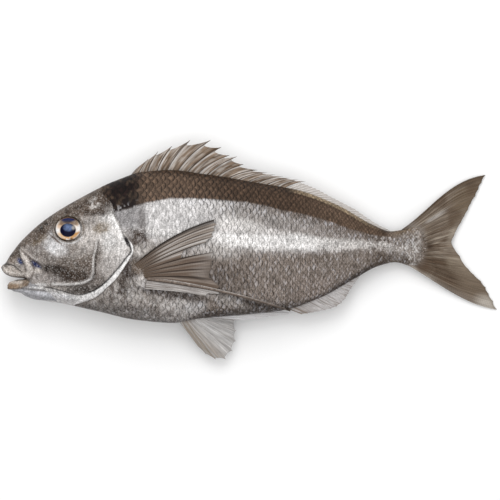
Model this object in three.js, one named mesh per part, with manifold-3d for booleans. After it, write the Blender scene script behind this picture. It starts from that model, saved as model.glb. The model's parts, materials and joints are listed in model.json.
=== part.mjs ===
// A whole raw fish, lying on its right side with its left side up.
// Lengths are millimetres. X runs from the snout to the tail, Y from the belly to the back,
// and Z up from the table. Shapes are first given in the fish's own side view, where x is the
// distance from the snout, y the height over the long axis and z the distance from the
// fish's middle plane. layDown() then sets them on the table.
import * as THREE from "three";
import { mergeVertices } from "three/addons/utils/BufferGeometryUtils.js";
import Module from "manifold-3d";

const wasm = await Module();
wasm.setup();

// Driving dimensions
const TOTAL_LENGTH = 398; // snout to the tips of the tail
const BODY_LENGTH = 343; // snout to the last scales on the tail root
const BODY_HALF_WIDTH = 26.2; // half the thickness behind the gills
const SECTION_POWER = 2.2; // 2 is an ellipse, more is a fuller flank
const SKIN_OVER_TABLE = 0.5; // the pressed flank, held up by the fin folded under it
const LEFT = 1;
const RIGHT = -1;

// Eyes
const EYE_AT = [54.6, 16.8];
const EYE_RADII = [10.6, 9.6, 7.6]; // along, up and through the head
const EYE_DEPTH = 11.6; // middle plane to the centre of the eyeball
const EYE_CLEARANCE = 0.35;
const EYE_SEGMENTS = 24;
const RIM_RADIUS = 1.1;
const RIM_AROUND = 20;
const RIM_SIDES = 5;

// Mouth
const JAW_START = 5;
const JAW_END = 46;
const MOUTH_CORNER = 22;
const MOUTH_LINE = -22.2;
const MOUTH_GAP = 1.1;

// Fins
const SPINES = 17;
const SPINES_FROM = 101;
const SPINES_TO = 223;
const SOFT_RAYS = 22;
const SOFT_FROM = 224;
const SOFT_TO = 306;
const VENT_RAYS = 13;
const BELLY_RAYS = 8;
const TAIL_HALF_RAYS = 8;
const SUNK = 4; // how deep a fin's base sits in the flesh
const FIN_SKIN = 0.42; // half the thickness of the thin skin between rays
const BETWEEN_RAYS = [0, 0.5]; // where the skin is drawn, as shares of the way to the next ray
const BETWEEN_SPINES = [0, 0.2, 0.8];

// Mesh density
const BODY_STATIONS = 46;
const BODY_AROUND = 30;
const JAW_STATIONS = 10;
const JAW_AROUND = 14;

// Curves of the side view. Between two points a curve is a cubic that never overshoots them.
function curveThrough(points) {
  const n = points.length;
  const secant = (i) =>
    (points[i + 1][1] - points[i][1]) / (points[i + 1][0] - points[i][0]);
  const slopes = points.map((p, i) => {
    if (i === 0) return secant(0);
    if (i === n - 1) return secant(n - 2);
    const before = secant(i - 1);
    const after = secant(i);
    return before * after <= 0 ? 0 : (2 * before * after) / (before + after);
  });
  return (x) => {
    const at = THREE.MathUtils.clamp(x, points[0][0], points[n - 1][0]);
    let i = 0;
    while (i < n - 2 && at > points[i + 1][0]) i += 1;
    const span = points[i + 1][0] - points[i][0];
    const t = (at - points[i][0]) / span;
    const rise = t * t * (3 - 2 * t);
    const leave = t * (1 - t) * (1 - t) * span;
    const arrive = t * t * (t - 1) * span;
    const level = points[i][1] * (1 - rise) + points[i + 1][1] * rise;
    return level + slopes[i] * leave + slopes[i + 1] * arrive;
  };
}

const back = curveThrough([
  [0, -14],
  [1, -12.4],
  [3.5, -10.4],
  [7.2, -4.4],
  [17.6, 8.6],
  [37.6, 25.9],
  [66.4, 43.2],
  [92, 55.6],
  [113, 62.4],
  [135, 64],
  [166, 60.4],
  [201, 54.4],
  [239, 47.6],
  [270, 35.6],
  [299, 19.6],
  [312, 15],
  [320, 16],
  [333, 20],
  [340, 16],
  [BODY_LENGTH, 8],
]);
const belly = curveThrough([
  [0, -14],
  [1, -16.2],
  [3.5, -18.6],
  [9.6, -21.2],
  [13, -23],
  [18, -30],
  [26, -38.6],
  [47, -42.4],
  [76, -49],
  [110, -56],
  [138, -58.4],
  [162, -54.6],
  [191, -52],
  [225, -48.4],
  [256, -38.2],
  [283, -23.2],
  [303, -12.8],
  [316, -10],
  [333, -14],
  [340, -10],
  [BODY_LENGTH, -4],
]);
const halfWidth = curveThrough([
  [0, 0],
  [1, 3.6],
  [3.5, 6],
  [11, 9.2],
  [28, 13.6],
  [47, 17.6],
  [76, 22.6],
  [105, BODY_HALF_WIDTH - 0.4],
  [135, BODY_HALF_WIDTH],
  [170, 25.2],
  [200, 22.6],
  [230, 18.4],
  [260, 13],
  [290, 8.8],
  [316, 6.4],
  [331, 4.2],
  [340, 1.8],
  [BODY_LENGTH, 0.8],
]);
// How high the middle plane lies over the table: the tail sags down to it.
const middleHeight = curveThrough([
  [0, 22.5],
  [40, 23.8],
  [120, 24],
  [200, 23.4],
  [250, 20.4],
  [290, 15.4],
  [330, 8.6],
  [365, 3.8],
  [TOTAL_LENGTH, 0.9],
]);

// The distance of the skin from the middle plane at a point of the side view.
function skinAt(x, y) {
  const middle = (back(x) + belly(x)) / 2;
  const half = Math.max(0.01, (back(x) - belly(x)) / 2);
  const share = Math.min(1, Math.abs(y - middle) / half);
  return halfWidth(x) * Math.sqrt(1 - share ** SECTION_POWER);
}

// Sets a point of the side view on the table. Nothing goes below the floor given.
function layDown(x, y, z, floor = 0) {
  const height = Math.max(floor, z + middleHeight(x));
  return new THREE.Vector3(x - TOTAL_LENGTH / 2, y, height);
}

// A solid from points and triangles, turned the right way out.
function solidFrom(points, triangles) {
  const volume = triangles.reduce((sum, [a, b, c]) => {
    const cross = new THREE.Vector3().crossVectors(points[b], points[c]);
    return sum + points[a].dot(cross);
  }, 0);
  const order = volume < 0 ? triangles.map(([a, b, c]) => [a, c, b]) : triangles;
  const mesh = new wasm.Mesh({
    numProp: 3,
    vertProperties: new Float32Array(points.flatMap((p) => p.toArray())),
    triVerts: new Uint32Array(order.flat()),
  });
  return new wasm.Manifold(mesh);
}

// A closed form drawn through rings of points, with one point at each end.
function loft(first, rings, last) {
  const around = rings[0].length;
  const points = [first, ...rings.flat(), last];
  const end = points.length - 1;
  const at = (ring, k) => 1 + ring * around + (k % around);
  const triangles = [];
  for (let k = 0; k < around; k += 1) {
    triangles.push([0, at(0, k), at(0, k + 1)]);
    triangles.push([end, at(rings.length - 1, k + 1), at(rings.length - 1, k)]);
    for (let ring = 0; ring < rings.length - 1; ring += 1) {
      triangles.push([at(ring, k), at(ring + 1, k), at(ring + 1, k + 1)]);
      triangles.push([at(ring, k), at(ring + 1, k + 1), at(ring, k + 1)]);
    }
  }
  return solidFrom(points, triangles);
}

// A closed sheet between two grids of points, an upper and a lower one.
function sheet(upper, lower) {
  const rows = upper.length;
  const columns = upper[0].length;
  const points = [...upper.flat(), ...lower.flat()];
  const top = (i, j) => i * columns + j;
  const under = (i, j) => rows * columns + top(i, j);
  const triangles = [];
  const quad = (a, b, c, d) => triangles.push([a, b, c], [a, c, d]);
  for (let i = 0; i < rows - 1; i += 1) {
    for (let j = 0; j < columns - 1; j += 1) {
      quad(top(i, j), top(i + 1, j), top(i + 1, j + 1), top(i, j + 1));
      quad(under(i, j), under(i, j + 1), under(i + 1, j + 1), under(i + 1, j));
    }
    quad(top(i, 0), under(i, 0), under(i + 1, 0), top(i + 1, 0));
    const j = columns - 1;
    quad(top(i, j), top(i + 1, j), under(i + 1, j), under(i, j));
  }
  for (let j = 0; j < columns - 1; j += 1) {
    quad(top(0, j), top(0, j + 1), under(0, j + 1), under(0, j));
    const i = rows - 1;
    quad(top(i, j), under(i, j), under(i, j + 1), top(i, j + 1));
  }
  return solidFrom(points, triangles);
}

const steps = (count) => Array.from({ length: count + 1 }, (_, i) => i / count);
const mix = THREE.MathUtils.lerp;
const mixPoint = (a, b, t) => [mix(a[0], b[0], t), mix(a[1], b[1], t)];

// A smooth path through points of the side view, read by the share of its length.
function pathThrough(points) {
  const curve = new THREE.CatmullRomCurve3(
    points.map(([x, y]) => new THREE.Vector3(x, y, 0)),
  );
  return (share) => curve.getPointAt(THREE.MathUtils.clamp(share, 0, 1)).toArray();
}

// The body and head, one loft of full ovals that are pressed flat where they meet the table.
function bodySolid() {
  const ring = (x) =>
    steps(BODY_AROUND)
      .slice(1)
      .map((share) => {
        const turn = 2 * Math.PI * share;
        const middle = (back(x) + belly(x)) / 2;
        const half = (back(x) - belly(x)) / 2;
        const y = middle + half * Math.sin(turn);
        const z = Math.sign(Math.cos(turn)) * skinAt(x, y);
        return layDown(x, y, z, SKIN_OVER_TABLE);
      });
  const stations = steps(BODY_STATIONS)
    .slice(1, -1)
    .map((share) => (BODY_LENGTH * (1 - Math.cos(Math.PI * share))) / 2);
  const snout = layDown(0, back(0), 0);
  const root = layDown(BODY_LENGTH + 1, 2, 0);
  return loft(snout, stations.map(ring), root);
}

// The lower jaw, a blunt wedge under the snout that juts out on its own.
const jawTop = curveThrough([
  [5, -27.4],
  [7.2, -25],
  [11, -22.8],
  [20, -22.3],
  [31, -24],
  [JAW_END, -31],
]);
const jawBottom = curveThrough([
  [5, -28],
  [5.8, -30.8],
  [9.3, -33],
  [15, -34],
  [21, -37.4],
  [28, -39.7],
  [JAW_END, -41.4],
]);
const jawHalfWidth = curveThrough([
  [5, 0.5],
  [6, 3.4],
  [9, 6],
  [17, 9],
  [26, 11.2],
  [36, 10.8],
  [JAW_END, 7],
]);

function jawSolid() {
  const ring = (x) =>
    steps(JAW_AROUND)
      .slice(1)
      .map((share) => {
        const turn = 2 * Math.PI * share;
        const half = (jawTop(x) - jawBottom(x)) / 2;
        const y = (jawTop(x) + jawBottom(x)) / 2 + half * Math.sin(turn);
        return layDown(x, y, jawHalfWidth(x) * Math.cos(turn));
      });
  const stations = steps(JAW_STATIONS)
    .slice(1)
    .map((share) => JAW_START + (JAW_END - JAW_START) * share ** 1.6);
  const front = layDown(JAW_START, jawTop(JAW_START) - 0.3, 0);
  const hinge = layDown(JAW_END + 1, jawTop(JAW_END), 0);
  return loft(front, stations.map(ring), hinge);
}

// The slit between the lips, cut right through from cheek to cheek.
function mouthSlit() {
  const gap = (share) => MOUTH_GAP * (1 - share) + 0.25;
  const wall = (side) =>
    steps(3).map((share) => {
      const x = mix(JAW_START - 1, MOUTH_CORNER, share);
      return [1, -1].map((edge) =>
        layDown(x, MOUTH_LINE + edge * gap(share), side * BODY_HALF_WIDTH),
      );
    });
  return sheet(wall(LEFT), wall(RIGHT));
}

// A plate of bone or skin that lies on the flank, with a raised rim along an edge.
// It fades into the skin towards the focus, a point of the side view.
function plate({ side, rim, focus, reach, lift, sink = 2, along = 10, across = 2 }) {
  const edge = pathThrough(rim);
  const grid = (height) =>
    steps(along).map((s) =>
      steps(across).map((t) => {
        const [x, y] = mixPoint(edge(s), focus, reach * t);
        const fade = 1 - t ** 1.5;
        const end = Math.min(1, 6 * Math.min(s, 1 - s) + 0.15);
        const out = height > 0 ? lift * fade * end - 0.25 * t : -sink;
        return layDown(x, y, side * (skinAt(x, y) + out));
      }),
    );
  return sheet(grid(1), grid(-1));
}

const GILL_RIM = [
  [88.6, 36],
  [95.2, 19.2],
  [100, 8],
  [104.8, -1.2],
  [100, -8.5],
  [93.6, -16],
  [85.6, -24],
  [76.8, -31.2],
  [68, -35],
  [56, -35.6],
];
const GILL_SKIN_RIM = [
  [106.4, -1.6],
  [102.4, -10],
  [95, -19.6],
  [86, -28.6],
  [76, -35.6],
  [64, -38.4],
  [50, -37.4],
];
const CHEEK_RIM = [
  [78.6, 10],
  [78.8, -4.8],
  [77.8, -16],
  [73.6, -22.8],
  [66.4, -26],
  [54, -26.8],
  [40, -27.2],
];
const UPPER_JAW_RIM = [
  [17.6, 1],
  [20.8, -6],
  [24.2, -14],
  [24.6, -19.6],
  [20.4, -21],
];

function headPlates(side) {
  return [
    plate({ side, rim: GILL_SKIN_RIM, focus: [66, -12], reach: 0.3, lift: 1 }),
    plate({ side, rim: GILL_RIM, focus: [63, -4], reach: 0.5, lift: 2.2, along: 12, across: 3 }),
    plate({ side, rim: CHEEK_RIM, focus: [56, -4], reach: 0.4, lift: 1.1 }),
    plate({ side, rim: UPPER_JAW_RIM, focus: [12, -14], reach: 0.5, lift: 1.2, along: 6 }),
  ];
}

// Eyes: a flattened ball in a socket a little larger than it, inside a fleshy rim.
const eyeCentre = (side) => layDown(EYE_AT[0], EYE_AT[1], side * EYE_DEPTH);

function socketSolid(side) {
  const ball = new THREE.SphereGeometry(1, EYE_SEGMENTS, EYE_SEGMENTS / 2);
  ball.scale(...EYE_RADII.map((radius) => radius + EYE_CLEARANCE));
  ball.translate(...eyeCentre(side).toArray());
  ball.deleteAttribute("normal");
  ball.deleteAttribute("uv");
  const merged = mergeVertices(ball, 1e-3);
  const mesh = new wasm.Mesh({
    numProp: 3,
    vertProperties: merged.attributes.position.array,
    triVerts: new Uint32Array(merged.index.array),
  });
  return new wasm.Manifold(mesh);
}

function eyeRim(side) {
  const points = [];
  const triangles = [];
  const at = (k, m) => (k % RIM_AROUND) * RIM_SIDES + (m % RIM_SIDES);
  for (let k = 0; k < RIM_AROUND; k += 1) {
    const turn = (2 * Math.PI * k) / RIM_AROUND;
    const ringX = EYE_AT[0] + (EYE_RADII[0] + RIM_RADIUS) * Math.cos(turn);
    const ringY = EYE_AT[1] + (EYE_RADII[1] + RIM_RADIUS) * Math.sin(turn);
    for (let m = 0; m < RIM_SIDES; m += 1) {
      const tilt = (2 * Math.PI * m) / RIM_SIDES;
      const out = 1.3 * RIM_RADIUS * Math.cos(tilt);
      const up = RIM_RADIUS * (Math.sin(tilt) - 0.3);
      const z = side * (skinAt(ringX, ringY) + up);
      points.push(layDown(ringX + out * Math.cos(turn), ringY + out * Math.sin(turn), z));
      triangles.push([at(k, m), at(k + 1, m), at(k + 1, m + 1)]);
      triangles.push([at(k, m), at(k + 1, m + 1), at(k, m + 1)]);
    }
  }
  return solidFrom(points, triangles);
}

// Fins. A ray runs from its base to its tip. bow bends all of it, curl only its outer part.
// front and back say how far up the ray, as a share of its length, the thin skin reaches.
function ray(base, tip, { bow = 0, curl = 0, front = 1, back: rear = 1 } = {}) {
  const along = [tip[0] - base[0], tip[1] - base[1]];
  const at = (t) => {
    const lift = (4 * bow + curl * t) * t * (1 - t);
    return [base[0] + along[0] * t - along[1] * lift, base[1] + along[1] * t + along[0] * lift];
  };
  return { at, front, rear };
}

// Columns of a fin: each ray's own, and those of the skin between it and the next.
function finColumns(rays, between) {
  const columns = [];
  rays.forEach((one, i) => {
    const next = rays[i + 1];
    between.forEach((f) => {
      if (f > 0 && !next) return;
      const reach = f === 0 ? 1 : mix(one.rear, next.front, f);
      const at = f === 0 ? one.at : (t) => mixPoint(one.at(t * reach), next.at(t * reach), f);
      columns.push({ at, core: f === 0 });
    });
  });
  return columns;
}

// height(x, y, t) gives the distance of the fin's middle from the middle plane.
function fin({ rays, between = BETWEEN_RAYS, rows = 4, root = 1.3, tip = 0.45, height }) {
  const columns = finColumns(rays, between);
  const grid = (face) =>
    columns.map(({ at, core }) =>
      steps(rows).map((t) => {
        const [x, y] = at(t);
        const skin = mix(root * 0.55, FIN_SKIN, Math.min(1, 2.5 * t));
        const thick = core ? mix(root, tip, t) : skin;
        return layDown(x, y, height(x, y, t) + face * thick);
      }),
    );
  return sheet(grid(1), grid(-1));
}

// The spiny front of the back fin. The spines are numbered from the nape to the tail.
const spineTipX = curveThrough([
  [0, 113.6],
  [2, 125.6],
  [4, 151.5],
  [5, 167.8],
  [8, 189],
  [9, 194],
  [10, 205.6],
  [16, 244],
]);
const spineTipY = curveThrough([
  [0, 69.4],
  [3, 83.4],
  [4, 88],
  [5, 88],
  [7, 75.8],
  [8, 74.9],
  [9, 68.6],
  [10, 64],
  [16, 55],
]);

function spinyFin() {
  const rays = steps(SPINES - 1).map((share, i) => {
    const x = mix(SPINES_FROM, SPINES_TO, share);
    return ray([x, back(x) - SUNK], [spineTipX(i), spineTipY(i)], {
      bow: 0.03,
      back: 0.82,
      front: 0.97,
    });
  });
  const height = (x, y, t) => -2.5 * t * t;
  return fin({ rays, between: BETWEEN_SPINES, rows: 3, root: 1.5, height });
}

// The soft back fin: many low rays that lie almost flat along the back.
const softLength = curveThrough([
  [0, 17],
  [0.3, 14.5],
  [0.8, 13],
  [1, 9],
]);
const softLean = curveThrough([
  [0, 30],
  [0.3, 24],
  [1, 21],
]);

function softFin() {
  const rays = steps(SOFT_RAYS - 1).map((share) => {
    const x = mix(SOFT_FROM, SOFT_TO, share);
    const slope = Math.atan2(back(x + 1) - back(x - 1), 2);
    const angle = slope + THREE.MathUtils.degToRad(softLean(share));
    const base = [x, back(x) - SUNK * 0.6];
    const reach = softLength(share);
    return ray(base, [x + reach * Math.cos(angle), base[1] + reach * Math.sin(angle)]);
  });
  const height = (x, y, t) => -1.5 * t * t;
  return fin({ rays, rows: 2, root: 1.2, height });
}

// A soft fin whose rays fan out from a base line to an outer edge.
function fanFin({ base, edge, count, rows = 4, height }) {
  const from = pathThrough(base);
  const to = pathThrough(edge);
  const rays = steps(count - 1).map((share) =>
    ray(from(share), to(share), { front: 0.985, back: 0.97 }),
  );
  return fin({ rays, rows, height });
}

// The fin behind the vent.
const ventFin = () =>
  fanFin({
    base: [
      [223, -44.6],
      [248, -37.5],
      [270, -29],
      [284, -19.5],
    ],
    edge: [
      [240.8, -51.6],
      [256.8, -48.8],
      [268.8, -45.6],
      [275.7, -39.5],
      [279.4, -32.6],
      [289, -19],
    ],
    count: VENT_RAYS,
    rows: 3,
    height: (x, y, t) => -1.5 * t * t,
  });

// The forked tail. Its rays fan out from the tail root to two long lobes.
const tailTips = {
  upper: pathThrough([
    [389, 60.4],
    [377.5, 36.4],
    [364.5, 13.6],
    [361, 6.4],
  ]),
  lower: pathThrough([
    [361, 6.4],
    [371.5, -10],
    [388.8, -29.6],
    [394.4, -38],
    [TOTAL_LENGTH, -48],
  ]),
};

function tailFin() {
  const root = pathThrough([
    [321, 16.5],
    [333, 15],
    [338, 2.4],
    [333, -9],
    [320, -9],
  ]);
  const rays = steps(2 * TAIL_HALF_RAYS).map((share, i) => {
    const upper = i <= TAIL_HALF_RAYS;
    const tip = upper ? tailTips.upper(2 * share) : tailTips.lower(2 * share - 1);
    const curl = 0.49 * Math.max(0, 1 - 3 * share) - 0.32 * Math.max(0, 3 * share - 2);
    return ray(root(share), tip, { curl, front: 0.985, back: 0.96 });
  });
  const height = () => 0;
  return fin({ rays, rows: 5, root: 2, tip: 0.5, height });
}

// The side fins ride on the flank. One lower ray runs on far behind the others.
const CHEST_RAYS = [
  { tip: [171.2, 23.4], bow: 0.06, front: 1, back: 0.97 },
  { tip: [171, 19], bow: 0.05, front: 0.97, back: 0.97 },
  { tip: [170.4, 13.6], bow: 0.045, front: 0.97, back: 0.97 },
  { tip: [168, 7.4], bow: 0.04, front: 0.97, back: 0.96 },
  { tip: [165.6, 1.6], bow: 0.035, front: 0.97, back: 0.5 },
  { tip: [169.6, -4], bow: 0.03, front: 0.5, back: 0.97 },
  { tip: [169.6, -10], bow: 0.025, front: 0.97, back: 0.97 },
  { tip: [168.8, -17], bow: 0.02, front: 0.97, back: 0.97 },
  { tip: [167.2, -24.6], bow: 0.02, front: 0.97, back: 0.97 },
  { tip: [235.6, -51.2], bow: 0.03, front: 0.46, back: 0.42 },
  { tip: [166, -36.4], bow: 0.02, front: 0.97, back: 0.97 },
  { tip: [148, -32.6], bow: 0.01, front: 0.97, back: 1 },
];
const CHEST_BASE = [
  [107.6, -11.4],
  [111, -18],
  [110.4, -28.6],
];

function chestFin(side) {
  const base = pathThrough(CHEST_BASE);
  const last = CHEST_RAYS.length - 1;
  const rays = CHEST_RAYS.map((one, i) => ray(base(i / last), one.tip, one));
  const lift = (t) => 0.6 + 2.2 * t ** 1.5;
  if (side === LEFT) {
    const height = (x, y, t) => skinAt(x, y) + lift(t);
    return fin({ rays, between: BETWEEN_SPINES, root: 1.5, height });
  }
  // The right one is folded under the flank, so its faces are flat where it is pressed.
  const columns = finColumns(rays, BETWEEN_RAYS);
  const skinHeight = (x, y) => Math.max(SKIN_OVER_TABLE, middleHeight(x) - skinAt(x, y));
  const grid = (face) =>
    columns.map(({ at }) =>
      steps(4).map((t) => {
        const [x, y] = at(t);
        const inner = skinHeight(x, y) + 1;
        const height = face > 0 ? inner : Math.max(0, inner - 1.8 - 0.8 * t);
        return layDown(x, y, height - middleHeight(x));
      }),
    );
  return sheet(grid(1), grid(-1));
}

// The belly fins: the left one is spread, the right one lies folded along the belly.
const spreadBellyFin = () =>
  fanFin({
    base: [
      [140.4, -54.5],
      [150, -53.5],
      [158, -51],
    ],
    edge: [
      [158, -78],
      [168, -86.6],
      [178.5, -88.6],
      [185.4, -80.5],
      [188.2, -71],
      [186.8, -56.4],
    ],
    count: BELLY_RAYS,
    height: (x, y, t) => mix(4, -12, t),
  });

const foldedBellyFin = () =>
  fanFin({
    base: [
      [152, -53],
      [158, -51],
      [163, -49.5],
    ],
    edge: [
      [188, -56.2],
      [199, -55.8],
      [212, -54],
      [225.6, -51.8],
      [236, -51.2],
      [224, -48],
    ],
    count: BELLY_RAYS,
    height: (x, y, t) => mix(-6, -8, t),
  });

// Joins the solids and keeps the largest body, so that no loose scrap stays.
function fused(solids) {
  const joined = solids.reduce((sum, one) => sum.add(one));
  const bodies = joined.decompose();
  return bodies.reduce((best, one) => (one.volume() > best.volume() ? one : best));
}

function geometryOf(solid) {
  const mesh = solid.getMesh();
  const geometry = new THREE.BufferGeometry();
  geometry.setAttribute("position", new THREE.BufferAttribute(mesh.vertProperties, 3));
  geometry.setIndex(new THREE.BufferAttribute(mesh.triVerts, 1));
  geometry.computeVertexNormals();
  return geometry;
}

function fishSolid() {
  const parts = [
    bodySolid(),
    jawSolid(),
    ...[LEFT, RIGHT].flatMap(headPlates),
    ...[LEFT, RIGHT].map(eyeRim),
    spinyFin(),
    softFin(),
    ventFin(),
    tailFin(),
    chestFin(LEFT),
    chestFin(RIGHT),
    spreadBellyFin(),
    foldedBellyFin(),
  ];
  const cuts = [
    mouthSlit(),
    ...[LEFT, RIGHT].map(socketSolid),
  ];
  const whole = fused(parts);
  return cuts.reduce((left, cut) => left.subtract(cut), whole);
}

const silverSkin = new THREE.MeshStandardMaterial({
  name: "skin",
  color: new THREE.Color(0.48, 0.44, 0.42),
  roughness: 0.38,
  metalness: 0.25,
});
const wetEye = new THREE.MeshStandardMaterial({
  name: "eye",
  color: new THREE.Color(0.08, 0.09, 0.14),
  roughness: 0.08,
  metalness: 0,
});

const fish = new THREE.Group();

const skin = new THREE.Mesh(geometryOf(fishSolid()), silverSkin);
skin.name = "fish";
fish.add(skin);

for (const [name, side] of [
  ["eye_left", LEFT],
  ["eye_right", RIGHT],
]) {
  const ball = new THREE.SphereGeometry(1, EYE_SEGMENTS, EYE_SEGMENTS / 2);
  const eye = new THREE.Mesh(ball, wetEye);
  eye.name = name;
  eye.scale.set(...EYE_RADII);
  eye.position.copy(eyeCentre(side));
  fish.add(eye);
}

export default fish;
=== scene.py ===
# %% [markdown]
# # A whole raw fish
# The fish lies on its right side on a pale table and shows its left flank. It is a deep-bodied
# silver sea fish, 398 mm long, with a dark saddle on its nape and one long ray in its side fin.
# The lesson builds it in pieces that a fish really has: the scaled trunk, the head with its
# gill covers, the lower jaw, the eyes and the fins.
#
# Every piece is worked out in the fish's own side view, in millimetres: x runs from the snout
# to the tail, y from the belly to the back, and z out of the middle plane. One function at the
# end of each piece lays it on the table and turns it into metres.

# %% The frame
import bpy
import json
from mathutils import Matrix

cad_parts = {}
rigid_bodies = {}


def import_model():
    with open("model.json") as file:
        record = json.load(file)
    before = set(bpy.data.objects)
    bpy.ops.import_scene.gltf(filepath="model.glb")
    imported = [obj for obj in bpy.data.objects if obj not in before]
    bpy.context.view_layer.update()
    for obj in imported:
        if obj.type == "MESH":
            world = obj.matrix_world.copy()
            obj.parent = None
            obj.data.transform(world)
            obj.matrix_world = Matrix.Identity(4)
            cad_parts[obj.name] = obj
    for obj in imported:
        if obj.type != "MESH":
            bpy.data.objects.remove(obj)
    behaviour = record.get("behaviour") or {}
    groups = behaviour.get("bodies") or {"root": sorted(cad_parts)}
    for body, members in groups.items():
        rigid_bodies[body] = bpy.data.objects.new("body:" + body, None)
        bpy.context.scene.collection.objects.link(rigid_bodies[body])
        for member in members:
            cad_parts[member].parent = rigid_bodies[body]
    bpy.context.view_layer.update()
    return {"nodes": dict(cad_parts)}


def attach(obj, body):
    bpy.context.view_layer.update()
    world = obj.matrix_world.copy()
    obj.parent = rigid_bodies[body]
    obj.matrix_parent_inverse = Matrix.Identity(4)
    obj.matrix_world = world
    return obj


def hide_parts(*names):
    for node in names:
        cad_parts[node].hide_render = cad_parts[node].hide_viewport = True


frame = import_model()
print("frame nodes:", sorted(frame["nodes"]))

# %% Tools and driving sizes
import json
import math
from collections import namedtuple
from types import SimpleNamespace

import bpy
import numpy as np

MM = 0.001  # metres
PIXEL = 0.8  # mm of fish in one pixel of the photograph
TOTAL_LENGTH = 398.0
BODY_LENGTH = 343.0  # from the snout to the end of the tail root
BODY_HALF_WIDTH = 26.2
SECTION_POWER = 2.2  # 2 would make the body's section an ellipse, and more makes it fuller
SKIN_OVER_TABLE = 0.5
LEFT, RIGHT = 1, -1
print("fish, mm:", TOTAL_LENGTH, "long,", 2 * BODY_HALF_WIDTH, "thick")

# %% [markdown]
# ## Curves of the side view
# A fish is easiest to draw from the side, as its back line and its belly line. Splines with
# handles would do, but they can overshoot and put a bump where there is none. A cubic between
# each two points, with the harmonic mean of the slopes on both sides, never overshoots.

# %% A curve that never overshoots


def curve_through(points):
    """y as a function of x: cubics through the points whose slopes are the harmonic mean of
    the slopes before and after each point, and zero where the curve turns round."""
    xs, ys = np.array(points, float).T
    secant = np.diff(ys) / np.diff(xs)
    before, after = secant[:-1], secant[1:]
    same = before * after > 0
    total = np.where(same, before + after, 1.0)
    middle = np.where(same, 2 * before * after / total, 0.0)
    slope = np.concatenate([secant[:1], middle, secant[-1:]])

    def at(x):
        x = np.clip(x, xs[0], xs[-1])
        i = np.clip(np.searchsorted(xs, x, side="right") - 1, 0, len(xs) - 2)
        span = xs[i + 1] - xs[i]
        t = (x - xs[i]) / span
        ease = t * t * (3 - 2 * t)
        bend = slope[i] * (1 - t) - slope[i + 1] * t
        return ys[i] * (1 - ease) + ys[i + 1] * ease + bend * t * (1 - t) * span

    return at


print("half way up a step from 0 to 1:", float(curve_through([(0, 0), (2, 1), (3, 1)])(1.0)))

# %% [markdown]
# Ridges, folds and fin edges are lines that can turn back, so they need both coordinates as
# functions of the way along. Everything that follows such a line asks the same question: how far
# is this point from the line, on which side, and how far along?

# %% Paths


def path_through(points, count=90):
    """A smooth line through points of the side view. Each coordinate is a cubic of the distance
    along the chords, with the slope of its neighbours at each point."""
    p = np.array(points, float)
    s = np.concatenate([[0], np.cumsum(np.hypot(*np.diff(p, axis=0).T))])
    slope = np.gradient(p, s, axis=0)
    at = np.linspace(0, s[-1], count)
    i = np.clip(np.searchsorted(s, at, side="right") - 1, 0, len(s) - 2)
    span = (s[i + 1] - s[i])[:, None]
    t = (at - s[i])[:, None] / span
    ease = t * t * (3 - 2 * t)
    bend = slope[i] * (1 - t) ** 2 * t - slope[i + 1] * t * t * (1 - t)
    return p[i] * (1 - ease) + p[i + 1] * ease + bend * span


def length_of(path):
    """The length of a path: the sum of the distances between its points."""
    return round(float(np.hypot(*np.diff(path, axis=0).T).sum()), 1)


def from_path(path, x, y):
    """For every (x, y): the distance to the path, the same distance signed (positive on the
    left of the path's direction), and the share of the path's length at the nearest point."""
    flat_x, flat_y = np.ravel(x), np.ravel(y)
    gap = (flat_x[:, None] - path[:, 0]) ** 2 + (flat_y[:, None] - path[:, 1]) ** 2
    nearest = gap.argmin(1)
    tangent = np.gradient(path, axis=0)[nearest]
    off = np.stack([flat_x, flat_y], 1) - path[nearest]
    cross = tangent[:, 0] * off[:, 1] - tangent[:, 1] * off[:, 0]
    across = np.abs(cross) / np.hypot(*tangent.T)
    inner = (nearest > 0) & (nearest < len(path) - 1)
    distance = np.where(inner, across, np.sqrt(gap.min(1)))
    results = distance, np.sign(cross) * distance, nearest / (len(path) - 1)
    return [result.reshape(np.shape(x)) for result in results]


print("a straight path of 10 mm measures", length_of(path_through([(0, 0), (4, 0), (10, 0)])))

# %% [markdown]
# ## Masks
# A mask says how much of something there is at a point, from 0 to 1. Four kinds are enough for a
# whole fish: an ease from none to full, a bell across a line, an oval spot, and a chance cloud
# that breaks up what would look too even. The cloud is worked out here, and not by a noise
# texture, because shapes use it as well as colours.

# %% Eases, bells, spots and clouds
CLOUD_TABLE = 256  # numbers along each side of a cloud's table, after which it repeats


def rise(start, end, value):
    """0 at start, 1 at end, and the cubic ease 3t^2 - 2t^3 between them, held beyond both. The
    end may be below the start, and then the mask falls as the value grows."""
    t = np.clip((value - start) / (end - start), 0, 1)
    return t * t * (3 - 2 * t)


def ridge(distance, width):
    """A rounded ridge: the bell curve exp(-(distance / width)^2)."""
    return np.exp(-((distance / width) ** 2))


def spot(x, y, centre, radii, tilt=0.0, soft=0.6):
    """An oval spot: 1 inside, fading over its outer part. tilt turns it, in degrees."""
    turn = math.radians(tilt)
    dx, dy = x - centre[0], y - centre[1]
    along = (dx * math.cos(turn) + dy * math.sin(turn)) / radii[0]
    across = (dy * math.cos(turn) - dx * math.sin(turn)) / radii[1]
    return 1 - rise(1 - soft, 1 + soft, np.hypot(along, across))


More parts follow.
